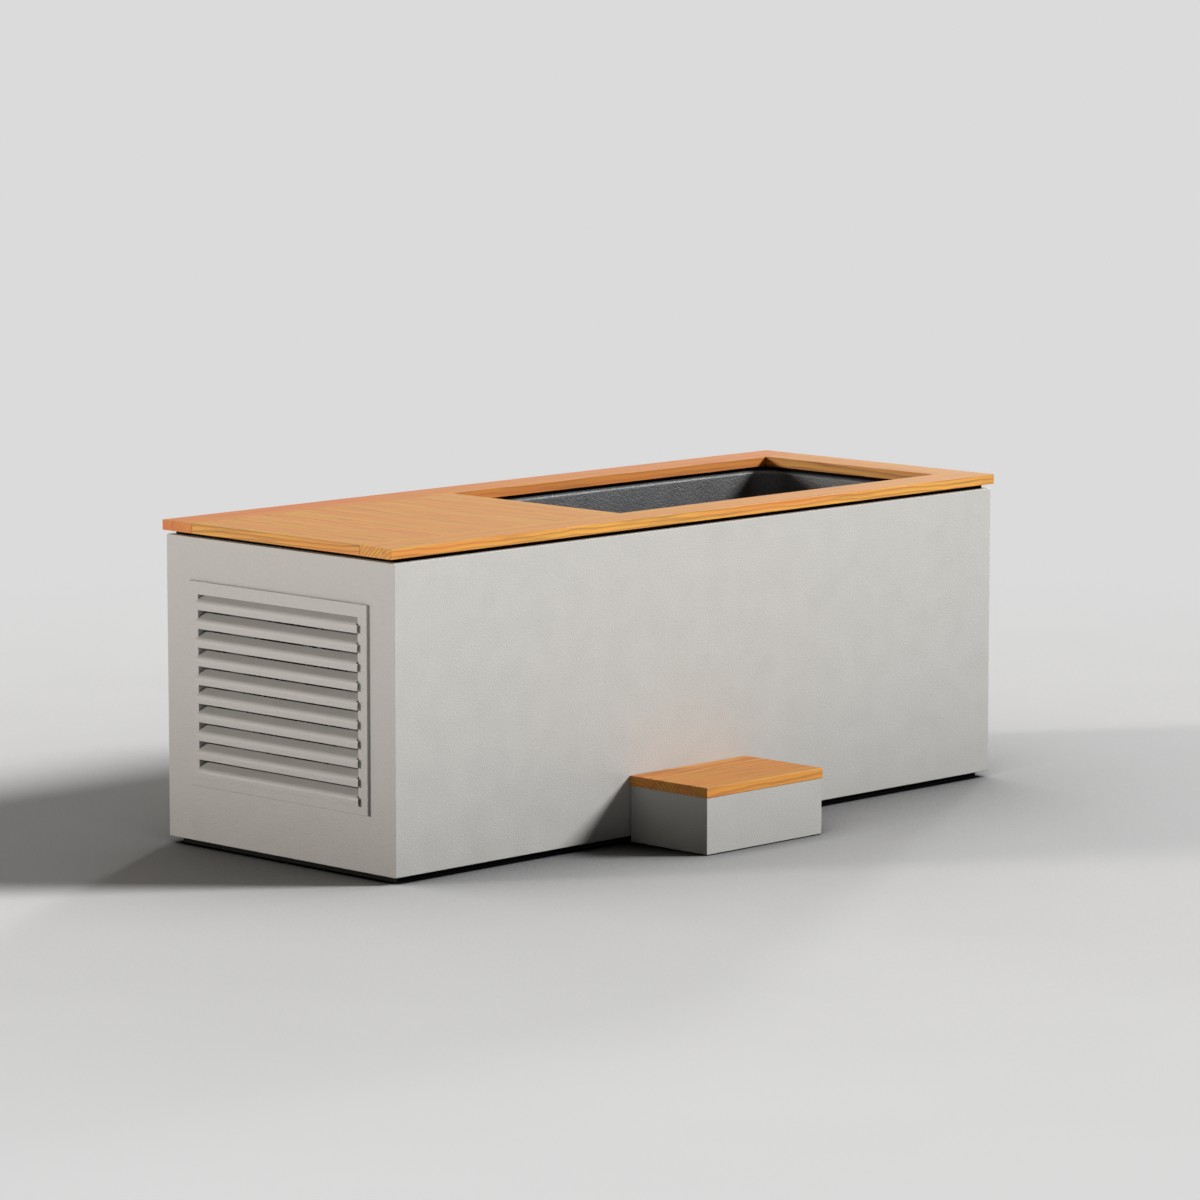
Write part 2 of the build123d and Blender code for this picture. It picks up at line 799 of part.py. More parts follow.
# Chiller
def make_chiller_case():
    half = chiller_width / 2
    x = span(chiller_front + mount_inset, chiller_back - mount_inset, 2)
    parts["chiller_mounts"] = group(
        rod((mount_x, mount_y, tray_top), (mount_x, mount_y, chiller_base), mount_radius)
        for mount_x in x
        for mount_y in (mount_inset - half, half - mount_inset)
    )
    base = block(chiller_front, chiller_back, -half, half, chiller_base, case_bottom)
    parts["chiller_base"] = fillet(base.edges().filter_by(Axis.Z), chiller_corner_radius)

    outer = block(chiller_front, chiller_back, -half, half, case_bottom, chiller_top)
    outer = fillet(outer.edges().filter_by(Axis.Z), chiller_corner_radius)
    wall = chiller_sheet
    inner = block(
        chiller_front + wall, chiller_back - wall, wall - half, half - wall, case_bottom, chiller_top - wall
    )
    inner = fillet(inner.edges().filter_by(Axis.Z), chiller_corner_radius - wall)
    shroud_radius = fan_radius + fan_tip_gap
    front, back = (chiller_front, 0, fan_z), (chiller_front + shroud_depth, 0, fan_z)
    case = outer - inner + rod(front, back, shroud_radius + wall) - rod(front, back, shroud_radius)
    for y, z in ((port_y, filter_port_z), (return_y, return_z)):
        case -= rod((chiller_back - wall, y, z), (chiller_back, y, z), collar_radius + fit)
    slot_x = chiller_back - chiller_corner_radius - side_slot_width - side_slot_pitch * (side_slot_count - 1)
    for i in range(side_slot_count):
        left = slot_x + i * side_slot_pitch
        low = fan_z - side_slot_height / 2
        case -= block(left, left + side_slot_width, -half, half, low, low + side_slot_height)
    parts["chiller_case"] = case


def chiller_port(y, z):
    """A flanged port through the back of the chiller's case, with a socket for its pipe."""
    root = (chiller_back - chiller_sheet - port_plate, y, z)
    tip = (chiller_back + port_plate + collar_length, y, z)
    body = rod((chiller_back, y, z), (chiller_back + port_plate, y, z), port_plate_radius)
    body = socketed(body, root, tip)
    return body - rod(root, tip, pipe_radius - pipe_wall), root, tip


def vessel(x, y, radius, height, cone):
    """A round vessel with a coned top, standing on the chiller's base."""
    body = rod((x, y, case_bottom), (x, y, case_bottom + height), radius)
    return chamfer(body.edges().group_by(Axis.Z)[-1], cone)


def make_chiller_inside():
    ports = [chiller_port(port_y, filter_port_z), chiller_port(return_y, return_z)]
    parts["chiller_ports"] = group(body for body, root, tip in ports)

    half = chiller_width / 2 - coil_margin
    front = fan_back + coil_gap
    low, high = case_bottom, case_bottom + coil_height
    core = block(front, front + coil_depth, -half, half, low, high)
    ends = (front - coil_plate, front + coil_depth + coil_plate)
    plates = [block(*ends, *mirrored(side, half, half + coil_plate), low, high) for side in (-1, 1)]
    parts["condenser_coil"] = group([core] + plates)

    middle = (front + coil_depth + chiller_back) / 2
    parts["compressor"] = vessel(middle, compressor_y, compressor_radius, compressor_height, compressor_cone)
    parts["heat_exchanger"] = vessel(middle, port_y, exchanger_radius, exchanger_height, exchanger_cone)


# Fan, its motor and its guard
def make_fan():
    guard_front = chiller_front - guard_bar
    motor_back = chiller_front + motor_length
    disc = Circle(motor_radius)
    rim = fan_radius + fan_tip_gap + guard_rim
    disc += Circle(rim) - Circle(rim - guard_rim)
    ring_pitch = (rim - guard_rim - motor_radius) / (guard_rings + 1)
    for i in range(1, guard_rings + 1):
        ring = motor_radius + i * ring_pitch
        disc += Circle(ring + guard_bar / 2) - Circle(ring - guard_bar / 2)
    spoke = Pos((motor_radius + rim) / 2 - guard_bar, 0) * Rectangle(rim - motor_radius, 2 * guard_bar)
    for i in range(guard_spokes):
        disc += Rot(0, 0, 360 * (i + 0.5) / guard_spokes) * spoke
    plane = Plane(origin=(guard_front, 0, fan_z), x_dir=(0, 1, 0), z_dir=(1, 0, 0))
    parts["fan_guard"] = extrude(plane * disc, guard_bar)

    motor = rod((chiller_front, 0, fan_z), (motor_back, 0, fan_z), motor_radius)
    shaft_front = chiller_front + motor_length / 4
    motor -= rod((shaft_front, 0, fan_z), (motor_back, 0, fan_z), fan_shaft_radius + running_fit)
    parts["fan_motor"] = motor

    middle = (fan_front + fan_back) / 2
    hub = rod((fan_front, 0, fan_z), (fan_back, 0, fan_z), fan_hub_radius)
    hub = chamfer(hub.edges().group_by(Axis.X)[0], edge_radius)
    hub += rod((shaft_front + fit, 0, fan_z), (middle, 0, fan_z), fan_shaft_radius)
    root = fan_hub_radius - fan_blade_sheet
    pitch = math.radians(fan_pitch)
    chord = (fan_depth - fan_blade_sheet) / math.sin(pitch) - fan_blade_sheet
    tip = math.sqrt(fan_radius**2 - (chord * math.cos(pitch) / 2) ** 2)
    blade = Pos(0, 0, (root + tip) / 2) * Rot(0, 0, 90 - fan_pitch) * Box(chord, fan_blade_sheet, tip - root)
    for i in range(fan_blades):
        hub += Pos(middle, 0, fan_z) * Rot(360 * i / fan_blades, 0, 0) * blade
    parts["fan_rotor"] = hub


# Controller
def make_controller():
    x0 = (chiller_front + chiller_back) / 2 - controller_length / 2
    x1 = x0 + controller_length
    half = controller_width / 2
    top = chiller_top + controller_height
    shell = block(x0, x1, -half, half, chiller_top, top)
    shell = fillet(shell.edges().filter_by(Axis.Z), controller_radius)
    shell = chamfer(shell.edges().group_by(Axis.Z)[-1], edge_radius)
    wall = controller_wall
    inner = block(x0 + wall, x1 - wall, wall - half, half - wall, chiller_top, top - wall)
    shell -= fillet(inner.edges().filter_by(Axis.Z), controller_radius - wall)
    middle = (x0 + x1) / 2
    window = (middle - display_length / 2, middle + display_length / 2)
    window_y = (display_y - display_width / 2, display_y + display_width / 2)
    shell -= block(*window, *window_y, top - display_depth, top)
    parts["controller_display"] = block(
        window[0] + fit, window[1] - fit, window_y[0] + fit, window_y[1] - fit, top - display_depth, top
    )
    shoulder = top - wall - fit
    reach = button_pitch * (button_count - 1) / 2
    for i, button_x in enumerate(span(middle - reach, middle + reach, button_count)):
        place = (button_x, button_y)
        shell -= rod((*place, top - wall), (*place, top), button_radius + fit)
        cap = rod((*place, shoulder), (*place, top + button_proud), button_radius)
        cap = chamfer(cap.edges().group_by(Axis.Z)[-1], button_travel / 2)
        collar = rod((*place, shoulder - button_flange), (*place, shoulder), button_radius + slip)
        parts["controller_button_" + str(i + 1)] = cap + collar
    parts["controller_body"] = shell


# Circulation pump
def pump_ports():
    """The root and tip of the pump's suction collar and of its discharge collar."""
    edge = pump_x + volute_width / 2
    suction = (pump_x, pump_y, pump_z), (edge + collar_length, pump_y, pump_z)
    discharge = (pump_x, pump_y, pump_z), (pump_x, pump_y, pump_z + volute_radius + collar_length)
    return suction, discharge


def make_pump():
    left, right = pump_x - volute_width / 2, pump_x + volute_width / 2
    volute = rod((left, pump_y, pump_z), (right, pump_y, pump_z), volute_radius)
    volute = chamfer(volute.edges().group_by(Axis.X)[-1], 4 * edge_radius)
    for root, tip in pump_ports():
        volute = socketed(volute, root, tip)
    parts["pump_body"] = volute

    end = left - pump_motor_length
    motor = rod((end, pump_y, pump_z), (left, pump_y, pump_z), pump_motor_radius)
    motor = chamfer(motor.edges().group_by(Axis.X)[0], 4 * edge_radius)
    pitch = pump_motor_length / (groove_count + 2)
    for i in range(groove_count):
        x = left - (i + 1) * pitch
        groove = (x - groove_width, pump_y, pump_z), (x, pump_y, pump_z)
        motor -= rod(*groove, pump_motor_radius) - rod(*groove, pump_motor_radius - groove_depth)
    half = pump_foot_width / 2
    motor += block(end + pitch, left - pitch, pump_y - half, pump_y + half, tray_top, tray_top + 2 * sheet)
    saddle_top = pump_z - pump_motor_radius / 2
    half /= 2
    motor += block(end + 2 * pitch, left - 2 * pitch, pump_y - half, pump_y + half, tray_top, saddle_top)
    parts["pump_motor"] = motor


# Cartridge filter
def filter_ports():
    """The root and tip of the filter's inlet collar and of its outlet collar."""
    reach = filter_head_radius + collar_length
    centre = (filter_x, filter_y, filter_port_z)
    inlet = (filter_x, filter_y - reach, filter_port_z)
    return (centre, inlet), (centre, (filter_x - reach, filter_y, filter_port_z))


def make_filter():
    head_low = filter_port_z - filter_head_height / 2
    head_top = filter_port_z + filter_head_height / 2
    bore = filter_radius - filter_wall
    well = tray_top + filter_floor
    housing = rod((filter_x, filter_y, tray_top), (filter_x, filter_y, head_top), filter_radius)
    housing += rod((filter_x, filter_y, head_low), (filter_x, filter_y, head_top), filter_head_radius)
    for root, tip in filter_ports():
        housing = socketed(housing, root, tip)
        housing -= rod(root, tip, pipe_radius - pipe_wall)
    housing -= rod((filter_x, filter_y, well), (filter_x, filter_y, head_top), bore)
    parts["filter_housing"] = housing

    seat = head_top + fit
    top = seat + filter_cap_height
    cap = rod((filter_x, filter_y, seat), (filter_x, filter_y, top), filter_cap_radius)
    cap = chamfer(cap.edges().group_by(Axis.Z)[-1], 2 * edge_radius)
    cap += rod((filter_x, filter_y, seat - filter_plug), (filter_x, filter_y, seat), bore - fit)
    inner, outer = filter_cap_radius - filter_lug_depth, filter_cap_radius + filter_lug_depth
    half = filter_lug_width / 2
    lug = block(inner, outer, -half, half, seat, top - 2 * edge_radius)
    for i in range(filter_lugs):
        cap += Pos(filter_x, filter_y, 0) * Rot(0, 0, 360 * i / filter_lugs) * lug
    parts["filter_cap"] = cap

    pleats = []
    for i in range(2 * cartridge_pleats):
        angle = math.pi * i / cartridge_pleats
        radius = cartridge_radius - (i % 2) * cartridge_pleat_depth
        pleats.append((radius * math.cos(angle), radius * math.sin(angle)))
    star = make_face(Polyline(*pleats, close=True)) - Circle(cartridge_bore)
    cartridge = extrude(star, seat - filter_plug - fit - well)
    parts["filter_cartridge"] = Pos(filter_x, filter_y, well) * cartridge


# Steriliser and the pipes between the machines
def steriliser_ends():
    middle = (chiller_back + bulkhead_x) / 2
    half = steriliser_length / 2
    return (middle - half, return_y, return_z), (middle + half, return_y, return_z)


def make_water_line():
    left, right = steriliser_ends()
    centre = along(left, right, steriliser_length / 2)
    inner_left = along(left, right, collar_length)
    inner_right = along(right, left, collar_length)
    body = rod(inner_left, inner_right, steriliser_radius)
    parts["steriliser"] = socketed(socketed(body, centre, left), centre, right)

    suction, discharge = pump_ports()
    inlet, outlet = filter_ports()
    chiller_in = chiller_port(port_y, filter_port_z)
    chiller_out = chiller_port(return_y, return_z)
    wall_in = fitting_root(pump_y, pump_z)
    wall_out = fitting_root(return_y, return_z)
    parts["water_pipes"] = group(
        [
            water_pipe(pipe_end(wall_in[0], wall_in[1]), pipe_end(*suction)),
            water_pipe(pipe_end(*discharge), (pump_x, pump_y, filter_port_z), pipe_end(*inlet)),
            water_pipe(pipe_end(*outlet), pipe_end(*chiller_in[1:])),
            water_pipe(pipe_end(*chiller_out[1:]), pipe_end(centre, left)),
            water_pipe(pipe_end(centre, right), pipe_end(wall_out[0], wall_out[1])),
        ]
    )


# Electrics
def make_electrics():
    y0 = box_inset - inner_y
    y1 = y0 + box_width
    back = bulkhead_x
    split = back - box_depth + box_lid
    base = block(split, back, y0, y1, box_z, box_z + box_height)
    lid = block(split - box_lid, split, y0, y1, box_z, box_z + box_height)
    base = fillet(base.edges().filter_by(Axis.X), box_radius)
    lid = fillet(lid.edges().filter_by(Axis.X), box_radius)
    parts["control_box"] = group([base, lid])

    face = half_width
    shoulder = (gland_x, face + gland_hex, gland_z)
    tip = (gland_x, face + gland_hex + gland_dome, gland_z)
    body = hexagon_bar((gland_x, face, gland_z), shoulder, gland_hex_radius)
    dome = rod(shoulder, tip, gland_radius)
    body += chamfer(dome.edges().group_by(Axis.Y)[-1], 2 * edge_radius)
    inner = face - sheet
    tail = (gland_x, inner - gland_tail, gland_z)
    body += rod(tail, (gland_x, face, gland_z), gland_radius)
    body -= rod(tail, tip, gland_bore)
    seat = (gland_x, inner - gland_nut, gland_z), (gland_x, inner, gland_z)
    nut = hexagon_bar(*seat, gland_hex_radius)
    nut -= rod(*seat, gland_radius + hole_clearance)
    parts["cable_gland"] = group([body, nut])


# Step
def make_step():
    length = step_width - 2 * step_overhang
    depth = step_depth - 2 * step_overhang
    ring = panel_ring(
        length, depth, step_foot_height, step_floor, step_sheet, step_return, step_fold_radius
    )
    low = step_floor - step_sheet
    tip = step_floor + screw_bite
    screw_x = length / 2 - step_return / 2
    screw_y = depth / 2 - step_return * 2
    places = [(sx * screw_x, sy * screw_y) for sx in (-1, 1) for sy in (-1, 1)]
    here = Pos(step_offset, step_y, 0)
    parts["step_panels"] = here * group(drilled(panel, places, low - slip, tip) for panel in ring)
    tread = block(-step_width / 2, step_width / 2, -step_depth / 2, step_depth / 2, step_floor, step_height)
    tread = fillet(tread.edges().filter_by(Axis.X), edge_radius)
    parts["step_tread"] = here * drilled(tread, places, low, tip)
    parts["step_screws"] = here * group(screw(x, y, low, tip) for x, y in places)
    foot_x, foot_y = length / 2 - step_return / 2, depth / 2 - step_return / 2
    parts["step_feet"] = here * group(
        rod((sx * foot_x, sy * foot_y, 0), (sx * foot_x, sy * foot_y, step_foot_height), step_foot_radius)
        for sx in (-1, 1)
        for sy in (-1, 1)
    )


def main():
    make_plinth()
    make_base_tray()
    make_frame()
    make_bulkhead()
    make_casing()
    make_grille()
    make_spacers()
    make_deck()
    make_cover()
    make_basin()
    make_basin_fittings()
    make_insulation()
    make_drain()
    make_chiller_case()
    make_chiller_inside()
    make_fan()
    make_controller()
    make_pump()
    make_filter()
    make_water_line()
    make_electrics()
    make_step()
    os.makedirs("parts", exist_ok=True)
    for name, shape in parts.items():
        export_step(shape, "parts/" + name + ".step")


main()
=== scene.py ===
import json
import math
from random import Random

import bmesh
import bpy
from bpy.props import FloatProperty, FloatVectorProperty, IntProperty, PointerProperty
from mathutils import Matrix, Vector


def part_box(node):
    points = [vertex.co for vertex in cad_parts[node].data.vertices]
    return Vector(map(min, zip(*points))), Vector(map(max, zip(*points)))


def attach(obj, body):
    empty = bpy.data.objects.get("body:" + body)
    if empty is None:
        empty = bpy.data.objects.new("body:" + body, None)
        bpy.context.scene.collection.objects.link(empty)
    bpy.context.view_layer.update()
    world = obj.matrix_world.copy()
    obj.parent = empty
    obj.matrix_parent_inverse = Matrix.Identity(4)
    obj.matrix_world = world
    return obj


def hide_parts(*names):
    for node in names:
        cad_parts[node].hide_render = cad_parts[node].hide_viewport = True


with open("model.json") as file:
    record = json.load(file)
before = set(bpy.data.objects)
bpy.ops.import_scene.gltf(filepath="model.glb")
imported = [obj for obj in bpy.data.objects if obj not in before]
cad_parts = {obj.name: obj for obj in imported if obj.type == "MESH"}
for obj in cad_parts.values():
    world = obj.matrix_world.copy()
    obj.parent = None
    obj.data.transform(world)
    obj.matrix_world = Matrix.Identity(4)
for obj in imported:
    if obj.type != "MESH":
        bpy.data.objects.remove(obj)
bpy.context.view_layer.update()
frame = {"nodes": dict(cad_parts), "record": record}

bl_info = {
    "name": "Cold plunge tub",
    "version": (1, 0, 0),
    "blender": (4, 5, 0),
    "location": "View3D > Sidebar > Plunge tub",
    "description": "Dresses the timber-decked cold plunge tub with its meshes, finishes and studio",
    "category": "Add Mesh",
}

# Lengths in this file are metres. MM turns a size in millimetres into metres.
MM = 0.001
# Points nearer than this lie on the same plane
TOUCHING = 0.001 * MM
SLOT_OF = {part["node"]: part["material_slot"] for part in frame["record"]["subparts"]}


# Small helpers
def linear(code):
    """A colour written as an sRGB hex value, as linear red, green, blue and alpha."""
    channels = [int(code[i:i + 2], 16) / 255 for i in (1, 3, 5)]
    return tuple(c / 12.92 if c <= 0.04045 else ((c + 0.055) / 1.055) ** 2.4 for c in channels) + (1.0,)


def add(tree, kind, inputs=None, stops=None, **settings):
    """Adds a node. Inputs are values, or outputs to link. Settings are its properties, stops its ramp."""
    made = tree.nodes.new("ShaderNode" + kind)
    for name, value in settings.items():
        setattr(made, name, value)
    for name, value in (inputs or {}).items():
        if isinstance(value, bpy.types.NodeSocket):
            tree.links.new(value, made.inputs[name])
        else:
            made.inputs[name].default_value = value
    for i, (place, tone) in enumerate(stops or ()):
        elements = made.color_ramp.elements
        stop = elements[i] if i < 2 else elements.new(place)
        stop.position = place
        stop.color = tone
    return made


def shaded(tone, factor):
    """A linear colour made darker or lighter by a factor."""
    return tuple(min(1.0, c * factor) for c in tone[:3]) + (1.0,)


def new_material(name):
    """An empty material, its node tree and its surface shader."""
    made = bpy.data.materials.new(name)
    made.use_nodes = True
    return made, made.node_tree, made.node_tree.nodes["Principled BSDF"]


def surface(tree, shader, colour, gloss, bump=None, metal=0.0):
    """Links a colour, a gloss and a relief to a surface shader."""
    tree.links.new(colour, shader.inputs["Base Color"])
    tree.links.new(gloss.outputs["Result"], shader.inputs["Roughness"])
    if bump:
        tree.links.new(bump.outputs["Normal"], shader.inputs["Normal"])
    shader.inputs["Metallic"].default_value = metal


# Finishes
# Noise lies mostly between these two values, so a tone runs from its darkest to its lightest between them
NOISE_LOW, NOISE_HIGH = 0.3, 0.7
# Clouds in a texture: their width in grains, their share of its tone, and how far gloss strays with them
CLOUD_GRAINS, CLOUD_SHARE, CLOUD_GLOSS = 20, 0.3, 0.06
# How far gloss strays between the lines of a lined surface, and how strong their relief is
LINE_GLOSS, LINE_RELIEF = 0.08, 0.25


def textured(name, code, rough, grain, relief, mottle=0.05, metal=0.0, **sockets):
    """A surface with a texture of a grain size in mm, wide faint clouds and a slightly uneven gloss."""
    made, tree, shader = new_material(name)
    tone = linear(code)
    place = add(tree, "TexCoord").outputs["Object"]
    fine = add(tree, "TexNoise", {"Vector": place, "Scale": 1 / (grain * MM), "Detail": 2.0}).outputs["Fac"]
    cloud_scale = 1 / (CLOUD_GRAINS * grain * MM)
    cloud = add(tree, "TexNoise", {"Vector": place, "Scale": cloud_scale, "Detail": 4.0}).outputs["Fac"]
    both = add(tree, "Mix", {0: CLOUD_SHARE, 2: fine, 3: cloud}, data_type="FLOAT")
    stops = ((NOISE_LOW, shaded(tone, 1 - mottle)), (NOISE_HIGH, shaded(tone, 1 + mottle)))
    ramp = add(tree, "ValToRGB", {"Fac": both.outputs[0]}, stops=stops)
    spread = {"Value": cloud, "From Min": NOISE_LOW, "From Max": NOISE_HIGH}
    spread.update({"To Min": rough - CLOUD_GLOSS, "To Max": rough + CLOUD_GLOSS})
    gloss = add(tree, "MapRange", spread)
    bump = add(tree, "Bump", {"Height": fine, "Strength": relief, "Distance": grain * MM / 3})
    surface(tree, shader, ramp.outputs["Color"], gloss, bump, metal)
    for socket, value in sockets.items():
        shader.inputs[socket.replace("_", " ")].default_value = value
    return made


def lined(name, code, rough, pitch, stretch, contrast, metal=1.0):
    """A surface with fine lines along one axis, such as brushing or fins. Pitch is in mm."""
    made, tree, shader = new_material(name)
    tone = linear(code)
    place = add(tree, "TexCoord").outputs["Object"]
    scaled = add(tree, "VectorMath", {0: place, 1: stretch}, operation="MULTIPLY").outputs["Vector"]
    lines = add(tree, "TexNoise", {"Vector": scaled, "Scale": 1 / (pitch * MM), "Detail": 3.0}).outputs["Fac"]
    stops = ((NOISE_LOW, shaded(tone, 1 - contrast)), (NOISE_HIGH, shaded(tone, 1 + contrast)))
    ramp = add(tree, "ValToRGB", {"Fac": lines}, stops=stops)
    spread = {"Value": lines, "To Min": rough - LINE_GLOSS, "To Max": rough + LINE_GLOSS}
    gloss = add(tree, "MapRange", spread)
    bump = add(tree, "Bump", {"Height": lines, "Strength": LINE_RELIEF, "Distance": pitch * MM / 2})
    surface(tree, shader, ramp.outputs["Color"], gloss, bump, metal)
    return made


def galvanised(name, code):
    """Hot-dip galvanised steel: flat crystals about 12 mm wide, each a slightly different grey and gloss."""
    made, tree, shader = new_material(name)
    tone = linear(code)
    place = add(tree, "TexCoord").outputs["Object"]
    spangle = add(tree, "TexVoronoi", {"Vector": place, "Scale": 1 / (12 * MM), "Randomness": 1.0})
    grey = add(tree, "SeparateColor", {"Color": spangle.outputs["Color"]}).outputs["Red"]
    stops = ((0.0, shaded(tone, 0.78)), (1.0, shaded(tone, 1.12)))
    ramp = add(tree, "ValToRGB", {"Fac": grey}, stops=stops)
    gloss = add(tree, "MapRange", {"Value": grey, "To Min": 0.32, "To Max": 0.5})
    surface(tree, shader, ramp.outputs["Color"], gloss, metal=1.0)
    return made


def streaks(tree, log, along, across, detail, start, full, most, rough=0.5):
    """Streaks along the grain of a log: their noise, and their strength.

    They are spaced by how many there are to the metre along the grain and across it. Strength climbs
    to its most while the noise climbs from start to full.
    """
    place = add(tree, "VectorMath", {0: log, 1: (along, across, across)}, operation="MULTIPLY")
    sizes = {"Vector": place.outputs["Vector"], "Scale": 1.0, "Detail": detail, "Roughness": rough}
    noise = add(tree, "TexNoise", sizes).outputs["Fac"]
    strength = add(tree, "MapRange", {"Value": noise, "From Min": start, "From Max": full, "To Max": most})
    return noise, strength.outputs["Result"]


# Growth rings: how far apart they are drawn, and how much slower they waver along the grain than across it
RING_PITCH = 10 * MM
RING_STRETCH = 0.28
# A wave texture of scale 1 repeats after this length
WAVE_LENGTH = math.pi / 10


def oiled_timber(name):
    """Planed and oiled larch-coloured timber, cut from one virtual log per board.

    The mesh carries each point's place in its log, with X along the grain. Growth rings run round that
    axis, so faces show long wavy lines and the ends show slanting ones. Rings are drawn 10 mm apart
    and fibres 3 mm wide, about three times the real ones, because finer ones don't show at this distance.
    """
    colours = bpy.context.scene.plunge_timber
    made, tree, shader = new_material(name)
    log = add(tree, "Attribute", attribute_name="log_place").outputs["Vector"]
    tone = add(tree, "Attribute", attribute_name="log_tone_and_shade").outputs["Fac"]
    drawn = add(tree, "VectorMath", {0: log, 1: (RING_STRETCH, 1.0, 1.0)}, operation="MULTIPLY")
    shape = {"Vector": drawn.outputs["Vector"], "Scale": WAVE_LENGTH / RING_PITCH}
    shape.update({"Distortion": 7.0, "Detail": 3.0, "Detail Scale": 0.4})
    wave = add(tree, "TexWave", shape, wave_type="RINGS", rings_direction="X", wave_profile="SAW")
    rings = wave.outputs["Fac"]
    fibre, thin = streaks(tree, log, 7.0, 330.0, detail=4.0, start=0.35, full=0.7, most=0.3, rough=0.6)
    heartwood = streaks(tree, log, 0.9, 34.0, detail=2.0, start=0.42, full=0.72, most=0.6)[1]
    burnt = streaks(tree, log, 3.5, 80.0, detail=3.0, start=0.56, full=0.74, most=0.6)[1]
    early, late, red = (tuple(c) + (1.0,) for c in (colours.early, colours.late, colours.red))
    stops = ((0.0, shaded(early, 1.1)), (0.5, early), (0.88, late), (1.0, shaded(early, 0.95)))
    colour = add(tree, "ValToRGB", {"Fac": rings}, stops=stops).outputs["Color"]
    reddened = add(tree, "Math", {0: heartwood, 1: tone}, operation="ADD", use_clamp=True).outputs["Value"]
    # Thin fibres, then the red of the heartwood and the board's own tone, on the tread partly painted shade,
    # then the darkest streaks
    for share, tint in ((thin, late), (reddened, red), (burnt, shaded(late, 0.6))):
        colour = add(tree, "Mix", {0: share, 6: colour, 7: tint}, data_type="RGBA").outputs[2]
    gloss = add(tree, "MapRange", {"Value": rings, "To Min": 0.5, "To Max": 0.62})
    bump = add(tree, "Bump", {"Height": fibre, "Strength": 0.12, "Distance": 0.5 * MM})
    surface(tree, shader, colour, gloss, bump)
    return made


def finish(slot):
    """The material for one of the record's material slots, made once."""
    name, make, *values = FINISHES[slot]
    made = bpy.data.materials.get(name)
    if made:
        return made
    extras = values.pop() if values and isinstance(values[-1], dict) else {}
    return make(name, *values, **extras)


